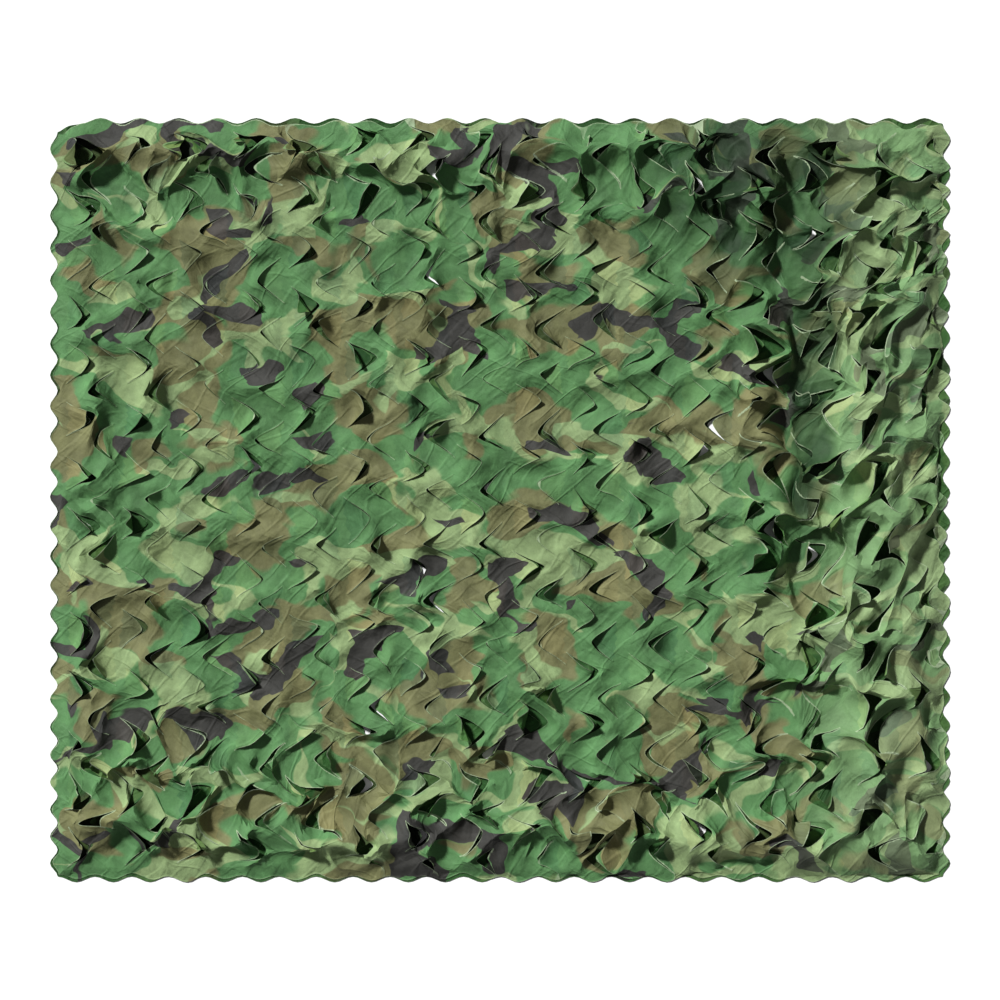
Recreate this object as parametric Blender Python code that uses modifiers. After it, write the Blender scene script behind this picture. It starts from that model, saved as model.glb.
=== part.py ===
"""Camouflage net: two plies of incised cloth, laid face up, one over the other.

Units are metres and +Z is up. +X runs along the long side of the net and +Y
along the short one. The origin is under the middle of the net, on the surface
that the back ply lies on.

Each ply is one piece of cloth with a scalloped edge and rows of chevron slits.
The slits stand in columns. In a column, a slit whose leaf points to +X is
followed by one whose leaf points to -X, so that the cloth between them runs
from side to side in slanting strips.
"""

import math
import random
from collections import namedtuple

import bmesh
import bpy
from mathutils import Vector, geometry, noise

# Outline, over the tips of the scallops
NET_LENGTH = 1.767
NET_WIDTH = 1.500
SIDE_SCALLOP = 0.015
END_SCALLOP = 0.011
CORNER_SCALLOP = 0.004
CORNER_CUT_X = 0.046
CORNER_CUT_Y = 0.017
STEPS_PER_SCALLOP = 6

# Cloth
CLOTH = 0.002
PLY_GAP = 0.0006
FACE_COLOUR = (0.112, 0.245, 0.098)
SHADE_COLOUR = (0.030, 0.075, 0.028)
CLOTH_ROUGHNESS = 0.72

# Lattice of slits
COLUMN_PITCH = 0.1097
COLUMNS = 16
FIRST_COLUMN = -0.801
ROW_PITCH = 0.1050
ROWS_EACH_WAY = 8
ROW_LEVEL = -0.027
ROW_SLANT = 0.034
EDGE_MARGIN = 0.012
JITTER = 0.0045

# One slit, from the tip of its leaf back to the ends of its legs
LEAF_REACH = 0.047
LEAF_HALF_WIDTH = 0.037
TIP_ROUND = 0.0085
SHOULDER = 0.30
LEAF_SHOULDER = 0.27
SHOULDER_LIFT = 0.75
WIDEST_GAP = 0.030
SMALLEST_GAP = 0.0045
LIFT_PER_GAP = 0.95
LEAST_LIFT = 0.006
SIZE_SPREAD = (0.90, 1.06)
GAP_SPREAD = (0.35, 1.00)
LIFT_SPREAD = (0.60, 1.00)
TURN_SPREAD = math.radians(6)

# Slits that stand open wide enough to be cut through
FRONT_OPEN_SLITS = 232
BACK_OPEN_SLITS = 56
BACK_SLIT_STEP = 4
BACK_GAP = 0.009
MOUNT_CLEARANCE = 0.10
MERGE_DISTANCE = 1e-7

# Lie of the front ply
CALM_LEVEL = 0.007
CALM_RIPPLE = 0.006
LOOSE_RIPPLE = 0.016
RIPPLES_PER_METRE = (8.5, 11.0)
CALM_LOOSENESS = 0.30
SEED = 41

Edge = namedtuple("Edge", "start end scallops drift depth")
Fold = namedtuple("Fold", "name x0 y0 x1 y1 width rise looseness")
Slit = namedtuple("Slit", "x y facing reach half_width gap lift turn")

# Ridges (rise above 0) and troughs (rise below 0), each along a line from
# (x0, y0) to (x1, y1). Looseness is how far the slits beside it stand open.
FOLDS = (
    #    name            x0      y0      x1      y1      width   rise    looseness
    Fold("strip crest",  0.705,  0.640,  0.725, -0.700,  0.105,  0.034,  0.55),
    Fold("strip edge",   0.655,  0.420,  0.650, -0.080,  0.026,  0.010,  0.10),
    Fold("valley",       0.600,  0.760,  0.606, -0.120,  0.034, -0.034,  0.30),
    Fold("valley tail",  0.606, -0.120,  0.620, -0.620,  0.036, -0.016,  0.16),
    Fold("valley bank",  0.520,  0.300,  0.535, -0.150,  0.050,  0.014,  0.10),
    Fold("head hollow",  0.410,  0.690,  0.560,  0.500,  0.060, -0.016,  0.34),
    Fold("head ridge",   0.330,  0.700,  0.480,  0.450,  0.035,  0.016,  0.10),
    Fold("top ridge",   -0.820,  0.665,  0.300,  0.690,  0.028,  0.013,  0.30),
    Fold("top trough",  -0.820,  0.590,  0.300,  0.610,  0.026, -0.008,  0.22),
    Fold("foot ridge",  -0.820, -0.620,  0.560, -0.650,  0.034,  0.015,  0.30),
    Fold("foot trough", -0.820, -0.540,  0.560, -0.560,  0.028, -0.007,  0.16),
    Fold("left ridge",  -0.800,  0.300, -0.790, -0.450,  0.040,  0.008,  0.12),
    Fold("slant crease", 0.170,  0.240,  0.460, -0.420,  0.045,  0.009,  0.12),
    Fold("lower crease", -0.120, -0.300,  0.250, -0.470,  0.040,  0.008,  0.10),
)


def clear_scene():
    """Remove every object that the file opened with."""
    for item in list(bpy.data.objects):
        bpy.data.objects.remove(item, do_unlink=True)


def make_group(name):
    """Add a collection to the scene and return it."""
    group = bpy.data.collections.new(name)
    bpy.context.scene.collection.children.link(group)
    return group


def cloth_material(name, colour):
    """Return a matt woven-cloth material of one colour."""
    material = bpy.data.materials.new(name)
    material.use_nodes = True
    shader = material.node_tree.nodes["Principled BSDF"]
    shader.inputs["Base Color"].default_value = (*colour, 1.0)
    shader.inputs["Roughness"].default_value = CLOTH_ROUGHNESS
    shader.inputs["Metallic"].default_value = 0.0
    return material


def outline_edges():
    """Return the runs of the outline, anticlockwise, as lines of scallop troughs."""
    right = NET_LENGTH / 2 - SIDE_SCALLOP
    top = NET_WIDTH / 2 - END_SCALLOP
    cut_start = (-right + CORNER_CUT_X, top)
    cut_end = (-right, top - CORNER_CUT_Y)
    return (
        Edge((-right, -top), (right, -top), 24, 0.00, END_SCALLOP),
        Edge((right, -top), (right, top), 25, 0.12, SIDE_SCALLOP),
        Edge((right, top), cut_start, 23, 0.05, END_SCALLOP),
        Edge(cut_start, cut_end, 1, 0.00, CORNER_SCALLOP),
        Edge(cut_end, (-right, -top), 25, -0.12, SIDE_SCALLOP),
    )


def place_of_phase(share, drift):
    """Return how far along an edge a share of its scallops has passed.

    A drift above 0 makes the scallops shorter at the start of the edge.
    """
    if drift == 0:
        return share
    linear = 1 + drift
    return (linear - math.sqrt(linear * linear - 4 * drift * share)) / (2 * drift)


def scalloped_outline():
    """Return the points of the scalloped edge, anticlockwise."""
    points = []
    for edge in outline_edges():
        start = Vector(edge.start)
        along = Vector(edge.end) - start
        outward = Vector((along.y, -along.x)).normalized()
        steps = edge.scallops * STEPS_PER_SCALLOP
        for step in range(steps):
            phase = 2 * math.pi * step / STEPS_PER_SCALLOP
            swell = edge.depth * (1 - math.cos(phase)) / 2
            place = place_of_phase(step / steps, edge.drift)
            points.append(start + place * along + swell * outward)
    return points


def nearness(x, y, fold):
    """Return 1 on the line of a fold, falling to 0 away from it."""
    start = Vector((fold.x0, fold.y0))
    along = Vector((fold.x1, fold.y1)) - start
    offset = Vector((x, y)) - start
    share = min(1, max(0, offset.dot(along) / along.length_squared))
    distance = (offset - share * along).length
    return math.exp(-((distance / fold.width) ** 2))


def looseness(x, y):
    """Return how loosely the front ply lies at a place, from 0 to 1."""
    folds = sum(fold.looseness * nearness(x, y, fold) for fold in FOLDS)
    return min(1, CALM_LOOSENESS + folds)


def front_rise(x, y):
    """Return how far the front ply stands above its lowest level."""
    folds = sum(fold.rise * nearness(x, y, fold) for fold in FOLDS)
    across, along = RIPPLES_PER_METRE
    ripple = noise.noise(Vector((across * x, along * y, SEED)))
    ripple_height = CALM_RIPPLE + LOOSE_RIPPLE * (looseness(x, y) - CALM_LOOSENESS)
    return max(0, CALM_LEVEL + folds + ripple_height * ripple)


def lattice_slits():
    """Return every slit of a ply, in its lattice, each a little out of place."""
    dice = random.Random(SEED)
    slits = []
    for column in range(COLUMNS):
        for half_row in range(-2 * ROWS_EACH_WAY, 2 * ROWS_EACH_WAY):
            x = FIRST_COLUMN + column * COLUMN_PITCH + dice.uniform(-JITTER, JITTER)
            y = ROW_LEVEL + ROW_SLANT * x + half_row * ROW_PITCH / 2
            y += dice.uniform(-JITTER, JITTER)
            facing = 1 if half_row % 2 == 0 else -1
            reach = LEAF_REACH * dice.uniform(*SIZE_SPREAD)
            half_width = LEAF_HALF_WIDTH * dice.uniform(*SIZE_SPREAD)
            gap = WIDEST_GAP * looseness(x, y) * dice.uniform(*GAP_SPREAD)
            lift = LEAST_LIFT + LIFT_PER_GAP * gap * dice.uniform(*LIFT_SPREAD)
            turn = dice.uniform(-TURN_SPREAD, TURN_SPREAD)
            slit = Slit(x, y, facing, reach, half_width, gap, lift, turn)
            if slit_is_inside(slit):
                slits.append(slit)
    return slits


def slit_is_inside(slit):
    """Return whether a slit and its leaf keep clear of the scalloped edge."""
    right = NET_LENGTH / 2 - SIDE_SCALLOP - EDGE_MARGIN
    top = NET_WIDTH / 2 - END_SCALLOP - EDGE_MARGIN
    root = slit.x - slit.facing * slit.reach
    across = max(abs(slit.x), abs(root))
    along = abs(slit.y) + slit.half_width
    return across < right and along < top


def placed(slit, back, side):
    """Return the point that lies back from a slit's tip, and to one side."""
    reach = -slit.facing * back
    cosine = math.cos(slit.turn)
    sine = math.sin(slit.turn)
    return Vector((
        slit.x + reach * cosine - side * sine,
        slit.y + reach * sine + side * cosine,
    ))


def open_slit_loop(slit, gap, lift):
    """Return the rim of an open slit as rows of (place, lift).

    The outer lip is the chevron that was cut. The inner lip is the edge of
    the leaf, drawn back by the gap and lifted.
    """
    shoulder = SHOULDER * slit.half_width
    leaf_shoulder = LEAF_SHOULDER * slit.half_width
    return [
        (placed(slit, slit.reach, slit.half_width), 0.0),
        (placed(slit, TIP_ROUND, shoulder), 0.0),
        (placed(slit, 0.0, 0.0), 0.0),
        (placed(slit, TIP_ROUND, -shoulder), 0.0),
        (placed(slit, slit.reach, -slit.half_width), 0.0),
        (placed(slit, gap + TIP_ROUND, -leaf_shoulder), SHOULDER_LIFT * lift),
        (placed(slit, gap, 0.0), lift),
        (placed(slit, gap + TIP_ROUND, leaf_shoulder), SHOULDER_LIFT * lift),
    ]


def inside_loop(point, loop):
    """Return whether a point lies inside a closed loop of points."""
    inside = False
    previous = loop[-1]
    for corner in loop:
        crosses = (corner.y > point.y) != (previous.y > point.y)
        if crosses:
            share = (point.y - corner.y) / (previous.y - corner.y)
            if point.x < corner.x + share * (previous.x - corner.x):
                inside = not inside
        previous = corner
    return inside


class Plan:
    """The flat pattern of a ply: its edge, its open slits and its fold points."""

    def __init__(self):
        self.points = []
        self.lifts = []
        self.edges = []
        self.holes = []

    def add_point(self, point, lift=0.0):
        """Add a loose point that the cloth passes through."""
        self.points.append(point)
        self.lifts.append(lift)

    def add_loop(self, rim):
        """Add a closed loop of (place, lift) and join its points up."""
        first = len(self.points)
        for point, lift in rim:
            self.add_point(point, lift)
        count = len(rim)
        self.edges += [(first + i, first + (i + 1) % count) for i in range(count)]

    def add_hole(self, rim):
        """Add a closed loop that the cloth stops at."""
        self.add_loop(rim)
        self.holes.append([point for point, _ in rim])

    def in_hole(self, point):
        """Return whether a point lies in one of the open slits."""
        for hole in self.holes:
            near = (hole[2] - point).length < LEAF_REACH + LEAF_HALF_WIDTH
            if near and inside_loop(point, hole):
                return True
        return False

    def triangles(self):
        """Return the points and the faces of the cloth between edge and slits."""
        inside_only = 1
        result = geometry.delaunay_2d_cdt(
            self.points, self.edges, [], inside_only, MERGE_DISTANCE
        )
        points, _, faces, sources = result[:4]
        lifts = [self.lifts[source[0]] for source in sources]
        kept = []
        for face in faces:
            middle = sum((points[index] for index in face), Vector((0, 0))) / len(face)
            if not self.in_hole(middle):
                kept.append(face)
        return points, lifts, kept


def cloth_object(name, plan, height_at, material, group):
    """Raise a flat pattern to its height and give it the thickness of the cloth."""
    points, lifts, faces = plan.triangles()
    mesh = bpy.data.meshes.new(name)
    heights = [height_at(point.x, point.y) + lift for point, lift in zip(points, lifts)]
    corners = [(point.x, point.y, z) for point, z in zip(points, heights)]
    mesh.from_pydata(corners, [], faces)
    surface = bmesh.new()
    surface.from_mesh(mesh)
    bmesh.ops.recalc_face_normals(surface, faces=surface.faces)
    if surface.faces[0].normal.z < 0:
        bmesh.ops.reverse_faces(surface, faces=surface.faces)
    surface.to_mesh(mesh)
    surface.free()
    mesh.materials.append(material)
    item = bpy.data.objects.new(name, mesh)
    group.objects.link(item)
    thickness = item.modifiers.new("Cloth thickness", "SOLIDIFY")
    thickness.thickness = CLOTH
    thickness.offset = -1.0
    thickness.use_even_offset = False
    return item


def front_height(x, y):
    """Return the level of the front ply's face."""
    return CLOTH + PLY_GAP + CLOTH + front_rise(x, y)


def back_height(_x, _y):
    """Return the level of the back ply's face, which lies flat."""
    return CLOTH


def front_ply(group):
    """Make the front ply, with its folds, its open slits and their raised leaves."""
    slits = sorted(lattice_slits(), key=lambda slit: -slit.gap)
    plan = Plan()
    plan.add_loop([(point, 0.0) for point in scalloped_outline()])
    for slit in slits[:FRONT_OPEN_SLITS]:
        gap = max(SMALLEST_GAP, slit.gap)
        plan.add_hole(open_slit_loop(slit, gap, slit.lift))
    for slit in slits[FRONT_OPEN_SLITS:]:
        plan.add_point(placed(slit, slit.reach / 2, 0.0))
    material = cloth_material("Printed cloth, face", FACE_COLOUR)
    return cloth_object("net_front", plan, front_height, material, group)


def back_ply(group):
    """Make the back ply, flat, its slits under the spines of the front ply."""
    slits = sorted(lattice_slits(), key=lambda slit: -slit.gap)
    shifted = [
        slit._replace(x=slit.x + COLUMN_PITCH / 2, y=slit.y + ROW_PITCH / 4)
        for slit in slits
    ]
    fitting = [
        slit for slit in shifted
        if slit_is_inside(slit) and math.hypot(slit.x, slit.y) > MOUNT_CLEARANCE
    ]
    plan = Plan()
    plan.add_loop([(point, 0.0) for point in scalloped_outline()])
    for slit in fitting[::BACK_SLIT_STEP][:BACK_OPEN_SLITS]:
        plan.add_hole(open_slit_loop(slit, BACK_GAP, 0.0))
    material = cloth_material("Printed cloth, in the shade", SHADE_COLOUR)
    return cloth_object("net_back", plan, back_height, material, group)


def main():
    """Build the net."""
    clear_scene()
    group = make_group("Camouflage net")
    back_ply(group)
    front_ply(group)


main()
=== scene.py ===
"""Camouflage net: the looks of two plies of leaf-cut, printed cloth.

The front ply is cut all over with rows of facing chevron slits. Each slit
frees a leaf, which lies flat, lifts, tucks under or twists as the cloth lies.
The back ply lies flat below it, with its inner side up and darkened by painted shade.

Lengths are in metres and +Z is up, as in the frame.
"""

import logging
import math
import random
from dataclasses import dataclass, field
from enum import Enum

import bpy
import numpy as np
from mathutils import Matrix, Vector, geometry, kdtree, noise


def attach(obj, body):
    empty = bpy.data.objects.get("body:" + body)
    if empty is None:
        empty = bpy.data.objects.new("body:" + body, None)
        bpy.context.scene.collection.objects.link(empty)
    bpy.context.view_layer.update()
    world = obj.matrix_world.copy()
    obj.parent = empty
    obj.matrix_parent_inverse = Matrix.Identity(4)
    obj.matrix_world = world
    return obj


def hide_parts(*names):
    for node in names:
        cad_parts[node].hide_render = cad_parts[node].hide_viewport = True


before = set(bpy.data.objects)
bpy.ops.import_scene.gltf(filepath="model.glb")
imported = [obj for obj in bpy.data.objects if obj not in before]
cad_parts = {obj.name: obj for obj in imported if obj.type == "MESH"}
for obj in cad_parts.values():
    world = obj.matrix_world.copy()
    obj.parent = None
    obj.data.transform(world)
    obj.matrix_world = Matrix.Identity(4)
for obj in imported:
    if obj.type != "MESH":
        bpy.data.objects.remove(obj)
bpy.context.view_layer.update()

LOG = logging.getLogger("camouflage_net")

MILLIMETRE = 0.001
CLOTH_THICKNESS = 0.0009
SEED = 41

# The curve of a slit, in shares of its reach and its half width
TIP_ROUND = 0.13
TIP_CROWDING = 0.35
LEG_FLARE = 0.030

# How much of a slit's gap comes from the leaf, and from the cloth beyond it
PULL_BACK = 0.40
PUSH_AWAY = 0.55

# Where a leaf's slopes hold, as shares of the way from its root to its tip
BEND_STATIONS = (0, 0.22, 0.6, 1)
BEND_SAMPLES = 14

# How fast a leaf's twist and swing grow from its root to its tip
TWIST_GROWTH = 1.4
SWING_GROWTH = 1.5

# Shading breaks where two faces of the cloth meet at more than this
CREASE_ANGLE = math.radians(34)

# The pale rim is worked out this far in from a cut edge
RIM_RANGE = 0.012

# How the print's colours are tinted on the sides of the cloth; the shade tint is painted shade, a darker
# copy of the inner side's tint for the back ply's upper side, which lies under the front ply
FACE_TINT = (1.0, 1.0, 1.0)
INNER_TINT = (0.50, 0.62, 0.40)
SHADE_TINT = (0.22, 0.37, 0.19)

# The back ply has only the slits whose leaves reach further than this
LEAST_BACK_REACH = 0.03


class Side(Enum):
    """The material slots of a ply, in the order in which its mesh holds them."""

    FACE = 0
    INNER = 1
    CUT = 2


@dataclass(frozen=True)
class Edge:
    """One run of the outline, as the line of its scallops' troughs."""

    start: tuple[float, float]
    end: tuple[float, float]
    scallops: int
    drift: float
    depth: float


@dataclass(frozen=True)
class Fold:
    """A ridge or trough along a line, and how far the slits beside it open."""

    x0: float
    y0: float
    x1: float
    y1: float
    width: float
    rise: float
    looseness: float


class Habit(Enum):
    """The ways in which a leaf of the front ply lies."""

    FLAT = "flat"
    OVER = "over"
    TUCKED = "tucked"
    LIFTED = "lifted"
    DROOPED = "drooped"
    SUNK = "sunk"
    TWISTED = "twisted"
    CURLED = "curled"


@dataclass(frozen=True)
class HabitRange:
    """How often leaves take a habit, and the ranges that it is drawn from.

    The slopes are those of the leaf near its root, in its middle and at its
    tip, in degrees. The gap is a share of the widest there, less than 0 where
    the leaf overlaps the cloth beyond it. The dip is in millimetres, for the
    cloth just beyond the tip.
    """

    calm: float
    loose: float
    root: tuple[float, float]
    middle: tuple[float, float]
    tip: tuple[float, float]
    twist: tuple[float, float]
    gap: tuple[float, float]
    dip: tuple[float, float]


HABIT_ROWS = (
    # habit         calm  loose  root        middle      tip         twist     gap           dip
    (Habit.FLAT,    0.12, 0.02, (0, 5),     (0, 12),    (-8, 14),   (0, 10),  (0.05, 0.25), (0.5, 4.0)),
    (Habit.OVER,    0.25, 0.14, (12, 24),   (8, 22),    (-22, 2),   (4, 20),  (-0.50, 0.0), (4.0, 10.0)),
    (Habit.TUCKED,  0.20, 0.13, (-14, -6),  (-16, 0),   (-10, 12),  (4, 14),  (-0.45, 0.1), (-10.0, -4.0)),
    (Habit.LIFTED,  0.16, 0.21, (18, 36),   (26, 56),   (28, 68),   (6, 28),  (0.40, 1.0),  (3.0, 11.0)),
    (Habit.DROOPED, 0.12, 0.15, (22, 44),   (0, 24),    (-70, -24), (6, 28),  (0.2, 0.9),   (0.0, 9.0)),
    (Habit.SUNK,    0.05, 0.12, (-24, -10), (-40, -16), (-40, 0),   (6, 26),  (0.4, 1.0),   (-8.0, -1.0)),
    (Habit.TWISTED, 0.08, 0.14, (8, 26),    (12, 36),   (0, 40),    (30, 70), (0.5, 1.0),   (0.0, 9.0)),
    (Habit.CURLED,  0.01, 0.10, (18, 45),   (70, 120),  (140, 195), (6, 30),  (0.6, 1.0),   (0.0, 7.0)),
)
HABITS = {habit: HabitRange(*ranges) for habit, *ranges in HABIT_ROWS}


@dataclass(frozen=True)
class Leaf:
    """One chevron slit and the lie of the leaf that it frees.

    The place is the tip of the leaf, and facing is 1 where it points to +X.
    Angles are in radians and lengths in metres. The shade is a random share,
    which sets the leaf's tone and how far a leaf of the back ply lifts.
    """

    x: float
    y: float
    facing: int
    reach: float
    half_width: float
    turn: float
    slopes: tuple[float, float, float]
    crease: float
    skew: float
    twist: float
    swing: float
    cup: float
    gap: float
    dip: float
    lean: float
    shade: float
    slip: tuple[float, float]
    bared: float
    swirl: float

    def axes(self) -> tuple[np.ndarray, np.ndarray]:
        """Return the directions towards the tip and across the leaf.

        Returns:
            Two unit vectors of x, y.
        """
        cosine, sine = math.cos(self.turn), math.sin(self.turn)
        towards = self.facing * np.array((cosine, sine))
        across = np.array((-sine, cosine))
        return towards, across

    def local(self, places: np.ndarray) -> tuple[np.ndarray, np.ndarray]:
        """Return how far places lie beyond the tip and to the side of it.

        Args:
            places: rows of x, y in the cloth.

        Returns:
            The distances towards the tip's own direction and across it.
        """
        towards, across = self.axes()
        offset = places - (self.x, self.y)
        return offset @ towards, offset @ across

    def cut(self, segments: int) -> np.ndarray:
        """Return the slit, from one leg's end to the other.

        Args:
            segments: the number of straight stretches in the slit.

        Returns:
            Rows of x, y, close together at the tip.
        """
        towards, across = self.axes()
        step = np.linspace(-1, 1, segments + 1)
        share = step * np.abs(step) ** TIP_CROWDING
        back = np.sqrt(share**2 + TIP_ROUND**2) - TIP_ROUND
        back /= back[-1]
        flare = LEG_FLARE * np.sin(2 * math.pi * np.abs(share))
        side = self.half_width * share * (1 + flare)
        return (self.x, self.y) - np.outer(self.reach * back, towards) + np.outer(side, across)

    def bent(self, beyond: np.ndarray, side: np.ndarray) -> tuple[np.ndarray, ...]:
        """Return where points of the leaf go as it bends, twists and swings.

        The leaf bends about lines at the angle of its crease, which start
        clear of both ends of the slit, so that the leaf stays on the cloth.

        Args:
            beyond: how far each point of the flat leaf lies beyond the tip.
            side: how far it lies to the side of the leaf's middle.

        Returns:
            The same two distances once bent, and the rise.
        """
        cosine, sine = math.cos(self.crease), math.sin(self.crease)
        hinge = self.half_width * abs(sine) - self.reach * cosine
        arc = np.clip(beyond * cosine + side * sine - hinge, 0, None)
        before = np.minimum(beyond * cosine + side * sine - hinge, 0)
        aside = side * cosine - beyond * sine
        share = np.clip(arc / -hinge, 0, 1)
        inner = np.outer(share, (np.arange(BEND_SAMPLES) + 0.5) / BEND_SAMPLES)
        slope = np.interp(inner, BEND_STATIONS, (0, *self.slopes))
        slope *= (1 + self.skew * side / self.half_width)[:, None]
        out = arc * np.cos(slope).mean(1)
        up = arc * np.sin(slope).mean(1)
        end = slope[:, -1]
        turn = self.twist * share**TWIST_GROWTH
        tilt = side * np.sin(turn)
        out = out - tilt * np.sin(end) - PULL_BACK * self.gap * share**2
        up = up + tilt * np.cos(end) + self.cup * side**2 * share
        aside = aside - side * (1 - np.cos(turn)) + self.swing * share**SWING_GROWTH
        out = out + before + hinge
        return out * cosine - aside * sine, out * sine + aside * cosine, up


@dataclass
class Outline:
    """The scalloped edge of the net.

    The length and width are over the tips of the scallops.
    """

    length: float = 1.767
    width: float = 1.500
    side_depth: float = 0.015
    end_depth: float = 0.011
    corner_depth: float = 0.004
    corner_cut: tuple[float, float] = (0.046, 0.017)

    def half_sides(self) -> tuple[float, float]:
        """Return half the length and half the width between the troughs."""
        return self.length / 2 - self.side_depth, self.width / 2 - self.end_depth

    def edges(self) -> tuple[Edge, ...]:
        """Return the runs of the outline, anticlockwise.

        Returns:
            The near, right and far sides, the cut corner and the left side.
        """
        right, top = self.half_sides()
        cut_start = (-right + self.corner_cut[0], top)
        cut_end = (-right, top - self.corner_cut[1])
        return (
            Edge((-right, -top), (right, -top), 24, 0.00, self.end_depth),
            Edge((right, -top), (right, top), 25, 0.12, self.side_depth),
            Edge((right, top), cut_start, 23, 0.05, self.end_depth),
            Edge(cut_start, cut_end, 1, 0.00, self.corner_depth),
            Edge(cut_end, (-right, -top), 25, -0.12, self.side_depth),
        )

    def points(self, steps: int) -> np.ndarray:
        """Return the points of the scalloped edge, anticlockwise.

        Args:
            steps: the number of points in each scallop.

        Returns:
            Rows of x, y.
        """
        rows = []
        for edge in self.edges():
            start, end = np.array(edge.start), np.array(edge.end)
            along = end - start
            outward = np.array((along[1], -along[0])) / np.hypot(*along)
            count = edge.scallops * steps
            step = np.arange(count)
            swell = edge.depth * (1 - np.cos(2 * math.pi * step / steps)) / 2
            place = self.place_of_phase(step / count, edge.drift)
            rows.append(start + np.outer(place, along) + np.outer(swell, outward))
        return np.vstack(rows)

    @staticmethod
    def place_of_phase(share: np.ndarray, drift: float) -> np.ndarray:
        """Return how far along an edge a share of its scallops has passed.

        Args:
            share: shares of the edge's scallops, from its start.
            drift: above 0 where the scallops at the start are the shorter.

        Returns:
            Shares of the edge's length.
        """
        if drift == 0:
            return share
        linear = 1 + drift
        return (linear - np.sqrt(linear**2 - 4 * drift * share)) / (2 * drift)


@dataclass(frozen=True)
class Crumple:
    """A train of creases across the cloth, steep where the cloth is loose.

    The angle is that of the line across the creases, in degrees. The
    steepness is 1 where a crease would stand upright, and the calm share is
    how much of it is left where the cloth lies calm. The creases wander and
    vary in size slowly, in a noise of a few wavelengths.
    """

    angle: float
    wavelength: float
    steepness: float
    wander: float
    layer: float
    calm: float
    slowness: float = 0.45
    least_size: float = 0.55
    size_spread: float = 0.9
    size_layer: float = 31.7

    def shift(self, places: np.ndarray) -> tuple[np.ndarray, np.ndarray]:
        """Return how far the creases move each place at full looseness.

        Args:
            places: rows of x, y.

        Returns:
            The shift in the cloth's plane, as rows of x, y, and the rise.
        """
        angle = math.radians(self.angle)
        direction = np.array((math.cos(angle), math.sin(angle)))
        slow = self.slowness / self.wavelength
        turn = (places @ direction) / self.wavelength
        turn = turn + self.wander * noise_at(places * slow, self.layer)
        varied = np.abs(noise_at(places * slow, self.layer + self.size_layer))
        size = self.least_size + self.size_spread * varied
        size = size * self.steepness * self.wavelength / (2 * math.pi)
        phase = 2 * math.pi * turn
        return np.outer(-size * np.sin(phase), direction), size * np.cos(phase)


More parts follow.
